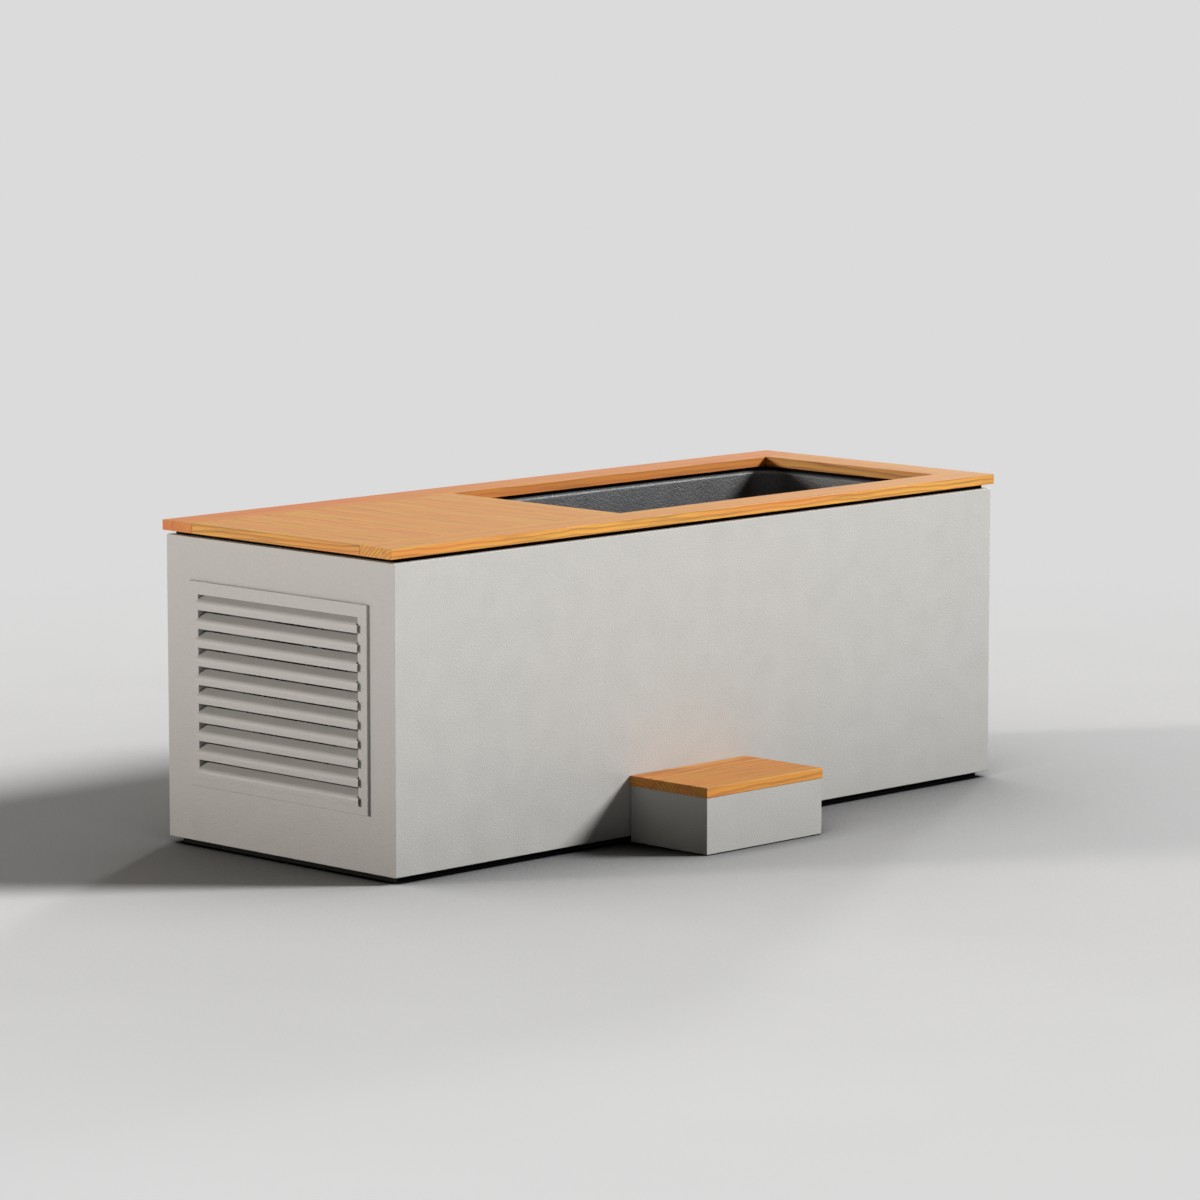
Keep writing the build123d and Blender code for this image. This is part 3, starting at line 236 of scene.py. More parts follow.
# Each finish: the name of its material and what makes it. For a textured one then its colour, roughness,
# grain in mm, relief, mottle and metalness, for a lined one colour, roughness, pitch in mm, stretch and
# contrast. A last entry in braces sets other sockets of the shader.
FINISHES = {
    # Polyester powder coat on steel sheet: an orange-peel texture that scatters light softly, drawn
    # about twice as coarse as the real one so that it shows
    "casing_coat": ("powder_coated_steel_warm_grey", textured, "#adaba7", 0.52, 3.6, 0.6, 0.06),
    "oiled_timber": ("planed_oiled_larch", oiled_timber),
    # Closed-cell rubber strip: its near-black colour is partly the rubber's own black and partly painted
    # shade for the gap it sits in
    "black_spacer": (
        "epdm_rubber_strip_black", textured, "#050505", 0.95, 1.5, 0.4, {"Specular_IOR_Level": 0.1}
    ),
    # Recycled polyethylene bar, extruded: dull black with faint clouds, drawn near pure black partly as
    # painted shade for the recessed gap at the foot
    "plinth_black": (
        "polyethylene_bar_black", textured, "#080808", 0.85, 2.0, 0.4, {"Specular_IOR_Level": 0.15}
    ),
    "galvanised_sheet": ("hot_dip_galvanised_steel", galvanised, "#a9adb0"),
    # Foamed PVC board, sawn: flat mid grey with a skin of tiny pits
    "bulkhead_board": ("foamed_pvc_board_grey", textured, "#8d8f90", 0.62, 1.8, 0.35),
    # Zinc-plated steel: bright and bluish, with slightly uneven gloss
    "zinc_screws": ("zinc_plated_steel", textured, "#b9bcc0", 0.3, 1.0, 0.2, 0.08, 1.0),
    # Rotomoulded polyethylene: a satin skin with the stipple of the mould, drawn several times as coarse
    # as the real one so that it shows
    "basin_shell": ("rotomoulded_polyethylene_charcoal", textured, "#424345", 0.5, 5.5, 0.8, 0.35),
    # Glass-filled nylon, injection moulded: dark and evenly matt
    "grey_fittings": ("glass_filled_nylon_grey", textured, "#3c3f43", 0.5, 0.8, 0.3),
    # Rigid polyurethane foam board: chalky, with cells about 2 mm wide
    "foam_board": ("polyurethane_foam_board", textured, "#d6d3ae", 0.95, 2.0, 0.9, 0.08),
    # Extruded pressure pipe: smooth, pale and slightly waxy
    "pvc_pipe": ("extruded_pvc_pipe_grey", textured, "#c3c5c6", 0.35, 4.0, 0.12, 0.03),
    # Turned brass, lacquered: warm and bright, with fine tool marks
    "brass_valve": ("turned_brass", lined, "#c9a35c", 0.28, 1.2, (1.0, 6.0, 1.0), 0.1),
    # Steel lever dipped in vinyl: thick glossy red skin
    "lever_coat": ("vinyl_dipped_steel_red", textured, "#9c1f17", 0.32, 5.0, 0.25, 0.05),
    # Moulded rubber: dull black with a bloom of grey
    "rubber_mounts": ("moulded_rubber_black", textured, "#161616", 0.85, 1.2, 0.5, 0.15),
    # Epoxy powder coat on thin steel: mid grey with a tight texture
    "chiller_coat": ("epoxy_coated_steel_grey", textured, "#5d6063", 0.5, 1.6, 0.45),
    # Aluminium fins, drawn 3 mm apart so that they show
    "coil_fins": ("stamped_aluminium_fins", lined, "#c3c6c8", 0.38, 3.0, (1.0, 1.0, 0.02), 0.3),
    # Enamelled steel: black, smooth, with soft highlights
    "compressor_coat": ("black_enamelled_steel", textured, "#131313", 0.35, 3.0, 0.15),
    # Brushed stainless steel: fine upright lines
    "steel_vessel": ("brushed_stainless_steel", lined, "#b4b6b8", 0.3, 1.2, (1.0, 1.0, 0.03), 0.08),
    # Plastic-coated steel wire: black with a soft sheen
    "guard_wire": ("plastic_coated_wire_black", textured, "#101011", 0.45, 1.5, 0.3),
    # Glass-filled nylon, black: evenly matt
    "fan_plastic": ("glass_filled_nylon_black", textured, "#19191b", 0.5, 1.2, 0.3),
    # ABS, spark-eroded mould texture: dark grey and satin
    "controller_shell": ("abs_satin_dark_grey", textured, "#34373a", 0.5, 0.9, 0.4),
    # Smoked acrylic window: black and glossy
    "display_glass": ("smoked_acrylic", textured, "#060808", 0.08, 6.0, 0.02, 0.02),
    # ABS, polished mould: pale grey keys
    "button_plastic": ("abs_gloss_light_grey", textured, "#bfc2c4", 0.3, 2.0, 0.1),
    # Polypropylene, black, injection moulded: slightly waxy
    "pump_plastic": ("moulded_polypropylene_black", textured, "#151617", 0.42, 1.4, 0.3),
    # Cast aluminium under slate paint: a grainy casting skin
    "pump_motor_coat": ("painted_cast_aluminium_slate", textured, "#3a4350", 0.45, 1.8, 0.5),
    # Polypropylene, white, injection moulded: bright with a soft sheen
    "filter_plastic": ("moulded_polypropylene_white", textured, "#d9dbdc", 0.35, 2.0, 0.15, 0.03),
    # Polypropylene, blue, injection moulded
    "filter_cap_plastic": ("moulded_polypropylene_blue", textured, "#23406f", 0.4, 1.4, 0.25),
    # White polyester filter cloth: soft, matt and slightly furry
    "filter_paper": ("pleated_polyester_cloth", textured, "#e6e4dc", 0.9, 1.5, 0.5, {"Sheen_Weight": 0.3}),
    # Nylon, black, injection moulded
    "black_gland": ("moulded_nylon_black", textured, "#141415", 0.4, 1.0, 0.25),
}


# Meshes
# Shading that stays level on flat faces and turns only at their rounded edges
LEVEL = ("WEIGHTED_NORMAL", {"keep_sharp": True})


def piece(name, made, body, node, sharp=35, modifiers=()):
    """Turns a mesh in progress into an object that rides on a body and stands for a CAD node."""
    mesh = bpy.data.meshes.new(name)
    made.to_mesh(mesh)
    made.free()
    mesh.shade_smooth()
    mesh.set_sharp_from_angle(angle=math.radians(sharp))
    obj = bpy.data.objects.new(name, mesh)
    bpy.context.scene.collection.objects.link(obj)
    for kind, settings in modifiers:
        modifier = obj.modifiers.new(kind.title(), kind)
        for key, value in settings.items():
            setattr(modifier, key, value)
    slot = SLOT_OF[node]
    mesh.materials.append(finish(slot))
    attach(obj, body)
    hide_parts(node)


def coat(*names):
    """Gives CAD nodes the finish of their material slots."""
    for name in names:
        obj = frame["nodes"][name]
        made = finish(SLOT_OF[name])
        if not obj.material_slots:
            obj.data.materials.append(made)
        for material_slot in obj.material_slots:
            material_slot.material = made


# Where a board was cut: how far beside and below it the log's heart lies, the most that it leans from the
# grain per metre, and the length of log along which it may start
HEART_ASIDE = (90 * MM, 150 * MM)
HEART_BELOW = (80 * MM, 130 * MM)
LEAN = 0.03
LOG_LENGTH = 9.0


def board(made, low, high, axis, arris, end_arris, seed, tone=0.0):
    """Adds a planed board between two corners, its grain along an axis, with eased edges.

    Each point carries its place in the board's log, which a seed chooses, and the board's tone, which on the
    step's tread is partly painted shade.
    """
    places, tones = made.verts.layers.float_vector, made.verts.layers.float
    place_layer = places.get("log_place") or places.new("log_place")
    tone_layer = tones.get("log_tone_and_shade") or tones.new("log_tone_and_shade")
    low, high = Vector(low), Vector(high)
    size = high - low
    plank = bmesh.new()
    shape = Matrix.Translation((low + high) / 2) @ Matrix.Diagonal((*size, 1.0))
    bmesh.ops.create_cube(plank, size=1.0, matrix=shape)
    runs = [e for e in plank.edges if abs((e.verts[0].co - e.verts[1].co)[axis]) > size[axis] / 2]
    bmesh.ops.bevel(plank, geom=runs, offset=arris, segments=3, profile=0.5, affect="EDGES")
    ends = []
    for corner in (low, high):
        ends += [e for e in plank.edges if all(abs(v.co[axis] - corner[axis]) < TOUCHING for v in e.verts)]
    bmesh.ops.bevel(plank, geom=ends, offset=end_arris, segments=2, profile=0.5, affect="EDGES")
    draw = Random(seed)
    across, up = draw.choice((-1, 1)) * draw.uniform(*HEART_ASIDE), draw.uniform(*HEART_BELOW)
    tilt_across, tilt_up = draw.uniform(-LEAN, LEAN), draw.uniform(-LEAN, LEAN)
    start = draw.uniform(0.0, LOG_LENGTH)
    middle = (low + high) / 2
    other = 1 - axis
    copies = {}
    for vert in plank.verts:
        copy = made.verts.new(vert.co)
        run = vert.co[axis] - middle[axis]
        side = vert.co[other] - middle[other] + across + tilt_across * run
        rise = vert.co[2] - middle[2] + up + tilt_up * run
        copy[place_layer] = Vector((run + start, side, rise))
        copy[tone_layer] = tone
        copies[vert] = copy
    for face in plank.faces:
        made.faces.new([copies[v] for v in face.verts])
    plank.free()


def strip(made, profile, low, high):
    """Adds a sheet along a profile of X and Z points, from one Y to another, its front to -X and up."""
    rows = [[made.verts.new((x, y, z)) for y in (high, low)] for x, z in profile]
    for near, far in zip(rows, rows[1:]):
        made.faces.new((near[0], near[1], far[1], far[0]))


def bend(corner, start, end, radius, steps):
    """Points round a bend of a radius at a corner between two unit directions, coming in and going out."""
    turn = start.angle_signed(end)
    reach = radius * math.tan(abs(turn) / 2)
    first = corner - start * reach
    centre = first + Vector((start.y, -start.x)) * math.copysign(radius, turn)
    arm = first - centre
    points = []
    for i in range(steps + 1):
        angle = -turn * i / steps
        spun = Vector((
            arm.x * math.cos(angle) - arm.y * math.sin(angle),
            arm.x * math.sin(angle) + arm.y * math.cos(angle),
        ))
        points.append(centre + spun)
    return points


def rounded_loop(centre, half_x, half_y, radius, z, steps):
    """Points round a rectangle with rounded corners, anticlockwise seen from above."""
    points = []
    for corner, (sx, sy) in enumerate(((1, 1), (-1, 1), (-1, -1), (1, -1))):
        for i in range(steps + 1):
            angle = math.pi / 2 * (corner + i / steps)
            x = centre.x + sx * (half_x - radius) + radius * math.cos(angle)
            y = centre.y + sy * (half_y - radius) + radius * math.sin(angle)
            points.append((x, y, z))
    return points


def bridge(made, near, far):
    """Adds the ring of faces between two closed loops of points of the same length."""
    count = len(near)
    for i in range(count):
        j = (i + 1) % count
        made.faces.new((near[i], near[j], far[j], far[i]))


def tube(made, path, radius, closed=False, sides=10):
    """Adds a round wire along a path of points that lies across the X direction."""
    count = len(path)
    rings = []
    for i, point in enumerate(path):
        before = path[i - 1] if closed or i else point
        after = path[(i + 1) % count] if closed or i + 1 < count else point
        ahead = (after - before).normalized()
        aside = ahead.cross(Vector((1.0, 0.0, 0.0))).normalized()
        up = aside.cross(ahead)
        ring = []
        for k in range(sides):
            angle = 2 * math.pi * k / sides
            ring.append(made.verts.new(point + radius * (math.cos(angle) * aside + math.sin(angle) * up)))
        rings.append(ring)
    for near, far in zip(rings, rings[1:]):
        bridge(made, near, far)
    if closed:
        bridge(made, rings[-1], rings[0])
    else:
        made.faces.new(rings[0])
        made.faces.new(rings[-1])


def lathe(made, centre, profile, sides=64):
    """Adds a shape turned about the X direction, from a profile of X offsets and radii."""
    rings = []
    for offset, radius in profile:
        ring = []
        for k in range(sides):
            angle = 2 * math.pi * k / sides
            arm = Vector((offset, radius * math.cos(angle), radius * math.sin(angle)))
            ring.append(made.verts.new(centre + arm))
        rings.append(ring)
    for near, far in zip(rings, rings[1:]):
        bridge(made, near, far)
    made.faces.new(rings[0])
    made.faces.new(rings[-1])


# Settings a user would change
def length_setting(name, description, size):
    """A length, given in millimetres."""
    return FloatProperty(name=name, description=description, default=size * MM, min=0.0, unit="LENGTH")


def angle_setting(name, description, degrees):
    """An angle, given in degrees."""
    return FloatProperty(name=name, description=description, default=math.radians(degrees), subtype="ANGLE")


def colour_setting(name, description, code):
    """A colour, given as an sRGB hex value."""
    return FloatVectorProperty(name=name, description=description, default=linear(code)[:3], subtype="COLOR")


def count_setting(name, description, number, least=1):
    """A number of things."""
    return IntProperty(name=name, description=description, default=number, min=least)


class PlungeTimberSettings(bpy.types.PropertyGroup):
    """Timber boards of the deck, the cover and the step."""

    arris: length_setting("Edge rounding", "Radius of the long edges", 1.5)
    joint_arris: length_setting("Joint rounding", "Radius where cover boards meet", 0.3)
    end_arris: length_setting("End rounding", "Radius at the ends of boards", 0.6)
    joint_gap: length_setting("Joint gap", "Gap between cover boards", 0.1)
    board_count: count_setting("Cover boards", "Boards across the cover", 7)
    early: colour_setting("Early wood", "Light wood between the rings", "#d0932a")
    late: colour_setting("Late wood", "Dark wood of the rings", "#a1681d")
    red: colour_setting("Red streaks", "Redder heartwood streaks", "#c2671f")


class PlungeGrilleSettings(bpy.types.PropertyGroup):
    """Folded blades of the louvred grille."""

    count: count_setting("Blades", "Number of blades", 10)
    pitch: length_setting("Pitch", "Height from blade to blade", 47.3)
    lip: length_setting("Lip height", "Height of the upright lip", 21)
    run: length_setting("Leaf depth", "Depth of the leaf behind it", 26)
    slope: angle_setting("Leaf slope", "Climb of the leaf inward", 33)
    radius: length_setting("Bend radius", "Radius of the fold", 17)
    sheet: length_setting("Sheet", "Thickness of the sheet", 2)
    step_back: length_setting("Leaf inset", "How far the leaf ends inside the lip's ends", 5.8)


class PlungeBasinSettings(bpy.types.PropertyGroup):
    """Moulded basin."""

    corner: length_setting("Corner radius", "Upright corners", 75)
    lip_gap: length_setting("Lip gap", "How far the walls stand behind the deck's edge", 4)
    lip: length_setting("Lip radius", "Rounding of the rim", 10)
    floor_radius: length_setting("Floor radius", "Wall to floor", 40)
    wall: length_setting("Wall", "Thickness of the moulding", 4)
    draft: angle_setting("Draft", "Taper of the walls", 2)


class PlungeFanSettings(bpy.types.PropertyGroup):
    """Condenser fan and its guard."""

    blades: count_setting("Blades", "Number of fan blades", 6, least=2)
    root_pitch: angle_setting("Root pitch", "Blade angle at the hub", 40)
    tip_pitch: angle_setting("Tip pitch", "Blade angle at the tip", 24)
    wire: length_setting("Wire", "Thickness of the guard's wire", 3.6)
    rings: count_setting("Guard rings", "Rings between hub and rim", 7)


class PlungeStudioSettings(bpy.types.PropertyGroup):
    """Camera, lamps and floor. The view was solved from straight edges in the photograph."""

    lens: FloatProperty(name="Lens", description="Focal length", default=163.75, unit="CAMERA")
    place: FloatVectorProperty(
        name="Camera place", description="Where the camera stands",
        subtype="TRANSLATION", unit="LENGTH", default=(-10.0217, -9.9152, 2.5013),
    )
    yaw: angle_setting("Yaw", "Turn of the view to the right of +Y", 45.384)
    pitch: angle_setting("Pitch", "Downward tilt of the view", 7.877)
    ambient: FloatProperty(name="Ambient", description="Even light from all round", default=0.03, min=0.0)
    floor_colour: colour_setting("Floor", "Colour of the floor", "#dadada")
    backdrop: colour_setting("Backdrop", "Colour behind the tub", "#dbdbdb")


# The pieces
class PLUNGE_OT_casing(bpy.types.Operator):
    """Coat the casing, the grille's frame and the step's panels, and finish what carries them."""

    bl_idname = "plunge_tub.casing"
    bl_label = "Casing"

    def execute(self, context):
        coat("front_panel", "back_panel", "louvre_panel", "end_panel", "grille_frame")
        coat("plinth_rails", "plinth_bearers", "base_tray", "bulkhead")
        coat("frame_long_rails", "frame_cross_rails", "frame_posts")
        coat("spacer_side_strips", "spacer_cross_strips", "insulation_walls", "insulation_floor")
        coat("step_panels", "step_feet", "deck_screws", "cover_screws", "step_screws")
        return {"FINISHED"}


class PLUNGE_OT_grille(bpy.types.Operator):
    """Fold the blades of the louvred grille."""

    bl_idname = "plunge_tub.grille"
    bl_label = "Grille blades"

    FOLD_STEPS = 12
    # Blade edges are eased by this radius
    EASE = 0.35 * MM

    def execute(self, context):
        settings = context.scene.plunge_grille
        low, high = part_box("grille_blades")
        up = Vector((0.0, 1.0))
        leaf = Vector((math.cos(settings.slope), math.sin(settings.slope)))
        made = bmesh.new()
        for i in range(settings.count):
            foot = Vector((low[0], low[2] + i * settings.pitch))
            crown = foot + up * settings.lip
            back = crown + leaf * settings.run / math.cos(settings.slope)
            fold = bend(crown, up, leaf, settings.radius, self.FOLD_STEPS)
            # The lip's ends stop half way round the fold
            lip = [foot, *fold[:self.FOLD_STEPS // 2 + 1]]
            inner = (low[1] + settings.step_back, high[1] - settings.step_back)
            strip(made, lip, low[1], inner[0])
            strip(made, lip, inner[1], high[1])
            strip(made, [foot, *fold, back], *inner)
        bmesh.ops.remove_doubles(made, verts=made.verts, dist=10 * TOUCHING)
        thick = ("SOLIDIFY", {"thickness": settings.sheet, "offset": -1.0})
        soft = ("BEVEL", {"width": self.EASE, "segments": 2, "limit_method": "ANGLE"})
        piece("grille_blades_folded", made, "tub", "grille_blades", sharp=40, modifiers=(thick, soft, LEVEL))
        return {"FINISHED"}


class PLUNGE_OT_deck(bpy.types.Operator):
    """Plane the three fixed rails of the timber deck."""

    bl_idname = "plunge_tub.deck"
    bl_label = "Deck rails"

    def execute(self, context):
        settings = context.scene.plunge_timber
        # Side, axis of the grain, seed of its log, and how much redder than the timber's own tone
        rails = (("front", 0, 11, 0.0), ("back", 0, 23, 0.5), ("end", 1, 37, 0.1))
        for side, axis, seed, tone in rails:
            node = "deck_" + side + "_rail"
            made = bmesh.new()
            board(made, *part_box(node), axis, settings.arris, settings.end_arris, seed, tone)
            piece(node + "_planed", made, "tub", node, modifiers=(LEVEL,))
        return {"FINISHED"}


class PLUNGE_OT_cover(bpy.types.Operator):
    """Plane the boards and the battens of the lift-off cover."""

    bl_idname = "plunge_tub.cover"
    bl_label = "Cover boards"

    BATTEN_WIDTH = 60 * MM
    # How much redder than the timber's own tone a board may be, at least and at most
    TONES = (-0.12, 0.04)

    def execute(self, context):
        settings = context.scene.plunge_timber
        low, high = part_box("cover_boards")
        width = (high[0] - low[0]) / settings.board_count
        tones = Random(5)
        made = bmesh.new()
        for i in range(settings.board_count):
            first, last = i == 0, i == settings.board_count - 1
            left = low[0] + i * width + (0 if first else settings.joint_gap / 2)
            right = low[0] + (i + 1) * width - (0 if last else settings.joint_gap / 2)
            arris = settings.arris if first or last else settings.joint_arris
            corners = (left, low[1], low[2]), (right, high[1], high[2])
            board(made, *corners, 1, arris, settings.end_arris, 50 + i, tones.uniform(*self.TONES))
        piece("cover_boards_planed", made, "service_cover", "cover_boards", modifiers=(LEVEL,))
        low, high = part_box("cover_battens")
        made = bmesh.new()
        width = self.BATTEN_WIDTH
        for seed, (near, far) in enumerate(((low[1], low[1] + width), (high[1] - width, high[1]))):
            corners = (low[0], near, low[2]), (high[0], far, high[2])
            board(made, *corners, 0, settings.arris, settings.end_arris, 80 + seed)
        piece("cover_battens_planed", made, "service_cover", "cover_battens", modifiers=(LEVEL,))
        return {"FINISHED"}


class PLUNGE_OT_step(bpy.types.Operator):
    """Plane the tread of the step."""

    bl_idname = "plunge_tub.step"
    bl_label = "Step tread"

    def execute(self, context):
        settings = context.scene.plunge_timber
        made = bmesh.new()
        # The tread's tone of 0.25 is partly the wood's own redness and partly painted shade, darkening the
        # tread for the lesser light on it
        board(made, *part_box("step_tread"), 0, settings.arris, settings.end_arris, 97, 0.25)
        piece("step_tread_planed", made, "step", "step_tread", modifiers=(LEVEL,))
        return {"FINISHED"}


class PLUNGE_OT_basin(bpy.types.Operator):
    """Mould the basin in one skin, from its flange over the lip to the floor."""

    bl_idname = "plunge_tub.basin"
    bl_label = "Basin"

    # Radius of the flange's corners, and the least radius of any ring of the moulding
    FLANGE_CORNER = 3 * MM
    LEAST_CORNER = 8 * MM
    # The moulding's underside stays this far above the CAD model's
    FOOT_GAP = 1 * MM
    # Width of the level ring round the floor
    FLOOR_RING = 60 * MM
    # Faces round the lip or the floor's rounding, down a wall, and round a corner
    ROUND_STEPS, WALL_STEPS, CORNER_STEPS = 8, 12, 12

    def execute(self, context):
        settings = context.scene.plunge_basin
        low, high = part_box("basin")
        left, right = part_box("cover_boards")[1][0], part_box("deck_end_rail")[0][0]
        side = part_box("deck_back_rail")[0][1]
        centre = Vector(((left + right) / 2, 0.0))
        half_x = (right - left) / 2 + settings.lip_gap
        half_y = side + settings.lip_gap
        top = high[2]
        floor = low[2] + settings.wall + self.FOOT_GAP
        slant = math.tan(settings.draft)
        quarter = [math.pi / 2 * i / self.ROUND_STEPS for i in range(self.ROUND_STEPS + 1)]
        # How far each ring stands outside the top of the walls, and its height
        rows = [(settings.lip * (1 - math.sin(a)), top - settings.lip * (1 - math.cos(a))) for a in quarter]
        wall_top, wall_foot = rows[-1][1], floor + settings.floor_radius
        for i in range(1, self.WALL_STEPS + 1):
            z = wall_top + (wall_foot - wall_top) * i / self.WALL_STEPS
            rows.append((-(top - z) * slant, z))
        foot = rows[-1][0]
        for a in quarter[1:]:
            inward = settings.floor_radius * (1 - math.cos(a))
            rows.append((foot - inward, wall_foot - settings.floor_radius * math.sin(a)))
        rows.append((rows[-1][0] - self.FLOOR_RING, floor))
        made = bmesh.new()
        middle = Vector(((low[0] + high[0]) / 2, (low[1] + high[1]) / 2))
        flange = (high[0] - low[0]) / 2, (high[1] - low[1]) / 2
        loops = [rounded_loop(middle, *flange, self.FLANGE_CORNER, top, self.CORNER_STEPS)]
        for grow, z in rows:
            radius = max(settings.corner + grow, self.LEAST_CORNER)
            loops.append(rounded_loop(centre, half_x + grow, half_y + grow, radius, z, self.CORNER_STEPS))
        loops = [[made.verts.new(point) for point in loop] for loop in loops]
        for near, far in zip(loops, loops[1:]):
            bridge(made, near, far)
        made.faces.new(loops[-1])
        thick = ("SOLIDIFY", {"thickness": settings.wall, "offset": -1.0})
        piece("basin_moulding", made, "tub", "basin", sharp=50, modifiers=(thick,))
        coat("basin_fittings", "fitting_nuts", "drain_sump")
        return {"FINISHED"}


class PLUNGE_OT_fan(bpy.types.Operator):
    """Mould the fan's twisted blades and bend the guard's wires."""

    bl_idname = "plunge_tub.fan"
    bl_label = "Fan and guard"

    HUB_RADIUS, HUB_DEPTH, HUB_NOSE, BORE_RADIUS = 50 * MM, 36 * MM, 6 * MM, 12 * MM
    # Turns round the nose's rounding, from its front to the hub's side, in radians
    NOSE_TURNS = (1.57, 1.1, 0.7, 0.35, 0.0)
    # Blades start inside the hub, end short of the CAD rotor's radius and sit ahead of the hub's middle
    ROOT_SUNK, TIP_GAP, BLADE_AHEAD = 4 * MM, 1 * MM, 3 * MM
    # A blade's chord at the hub, how much it swells on the way out, and the share of half a wave that
    # the swell follows
    CHORD, SWELL, SWELL_SHARE = 46 * MM, 26 * MM, 0.8
    # Camber is a quarter of this at mid chord
    CAMBER, BLADE_SHEET = 14 * MM, 2.4 * MM
    SPAN_STEPS, CHORD_STEPS = 10, 8
    # Radii from which the guard's rings are spread, and from which its spokes run out
    RINGS_FROM, SPOKES_FROM = 42 * MM, 38 * MM
    # The plate is a ring with a sloping rim: radius of its bore, of its front face and of its rim
    PLATE_BORE, PLATE_FACE, PLATE_RIM = 30 * MM, 40 * MM, 43 * MM
    SPOKES, RING_STEPS = 8, 72
    # Spokes are thinner than rings, by this factor
    SPOKE_THIN = 0.9

    def execute(self, context):
        settings = context.scene.plunge_fan
        self.rotor(settings)
        self.guard(settings)
        return {"FINISHED"}

    def rotor(self, settings):
        """Twisted and cambered blades on a round-nosed hub."""
        low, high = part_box("fan_rotor")
        centre = Vector(((low[0] + high[0]) / 2, 0.0, (low[2] + high[2]) / 2))
        hub, tip = self.HUB_RADIUS, (high[2] - low[2]) / 2 - self.TIP_GAP
        root = hub - self.ROOT_SUNK
        back = high[0] - centre.x
        front = back - self.HUB_DEPTH
        middle = (front + back) / 2 - self.BLADE_AHEAD
        made = bmesh.new()
        for k in range(settings.blades):
            turn = 2 * math.pi * k / settings.blades
            rows = []
            for i in range(self.SPAN_STEPS + 1):
                t = i / self.SPAN_STEPS
                radius = root + (tip - root) * t
                pitch = settings.root_pitch + (settings.tip_pitch - settings.root_pitch) * t
                chord = self.CHORD + self.SWELL * math.sin(math.pi * t * self.SWELL_SHARE)
                row = []
                for j in range(self.CHORD_STEPS + 1):
                    s = j / self.CHORD_STEPS - 0.5
                    camber = (0.25 - s * s) * self.CAMBER
                    offset = s * chord * math.sin(pitch) + camber * math.cos(pitch) + middle
                    angle = turn + (s * chord * math.cos(pitch) - camber * math.sin(pitch)) / radius
                    arm = Vector((offset, radius * math.sin(angle), radius * math.cos(angle)))
                    row.append(made.verts.new(centre + arm))
                rows.append(row)
            for near, far in zip(rows, rows[1:]):
                for j in range(self.CHORD_STEPS):
                    made.faces.new((near[j], near[j + 1], far[j + 1], far[j]))
        bmesh.ops.solidify(made, geom=made.faces[:], thickness=self.BLADE_SHEET)
        nose, bore = self.HUB_NOSE, self.BORE_RADIUS
        curve = [(front + nose * (1 - math.sin(a)), hub - nose * (1 - math.cos(a))) for a in self.NOSE_TURNS]
        lathe(made, centre, [(front, bore), *curve, (back, hub), (back, bore)])
        bmesh.ops.recalc_face_normals(made, faces=made.faces[:])
        piece("fan_rotor_moulded", made, "fan", "fan_rotor")

    def guard(self, settings):
        """Rings of wire on spokes, round a small plate."""
        low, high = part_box("fan_guard")
        centre = Vector(((low[0] + high[0]) / 2, 0.0, (low[2] + high[2]) / 2))
        wire = settings.wire / 2
        rim = (high[2] - low[2]) / 2 - wire
        made = bmesh.new()
        for i in range(settings.rings + 1):
            radius = self.RINGS_FROM + (rim - self.RINGS_FROM) * (i + 1) / (settings.rings + 1)
            ring = []
            for k in range(self.RING_STEPS):
                angle = 2 * math.pi * k / self.RING_STEPS
                ring.append(centre + Vector((0.0, radius * math.cos(angle), radius * math.sin(angle))))
            tube(made, ring, wire, closed=True)
        for k in range(self.SPOKES):
            angle = 2 * math.pi * (k + 0.5) / self.SPOKES
            arm = Vector((0.0, math.cos(angle), math.sin(angle)))
            tube(made, [centre + arm * r for r in (self.SPOKES_FROM, rim)], wire * self.SPOKE_THIN)
        half = (high[0] - low[0]) / 2
        face, edge, bore = self.PLATE_FACE, self.PLATE_RIM, self.PLATE_BORE
        lathe(made, centre, [(-half, bore), (-half, face), (0, edge), (half, edge), (half, bore)])
        bmesh.ops.recalc_face_normals(made, faces=made.faces[:])
        piece("fan_guard_wires", made, "tub", "fan_guard")


class PLUNGE_OT_machines(bpy.types.Operator):
    """Finish the chiller, the pump, the filter, the pipes and the electrics."""

    bl_idname = "plunge_tub.machines"
    bl_label = "Machines"

    def execute(self, context):
        coat("chiller_mounts", "chiller_base", "chiller_case", "chiller_ports")
        coat("condenser_coil", "compressor", "heat_exchanger", "fan_motor")
        coat("controller_body", "controller_display", "control_box", "cable_gland")
        coat("controller_button_1", "controller_button_2", "controller_button_3")
        coat("pump_body", "pump_motor", "filter_housing", "filter_cap", "filter_cartridge", "steriliser")
        coat("water_pipes", "drain_pipe", "drain_valve", "drain_lever", "drain_outlet")
        return {"FINISHED"}


# Lamps so far off that their light is parallel: compass angle from +X, rise above the floor and the angle
# that the softbox fills, all in degrees, then strength and colour
LAMPS = {
    "key_lamp": (-41.0, 29.3, 14.0, 4.7, "#ffffff"),
    "fill_lamp": (147.0, 11.5, 9.0, 2.05, "#fff9f1"),
    "back_lamp": (30.0, 13.7, 6.0, 1.2, "#ffffff"),
}


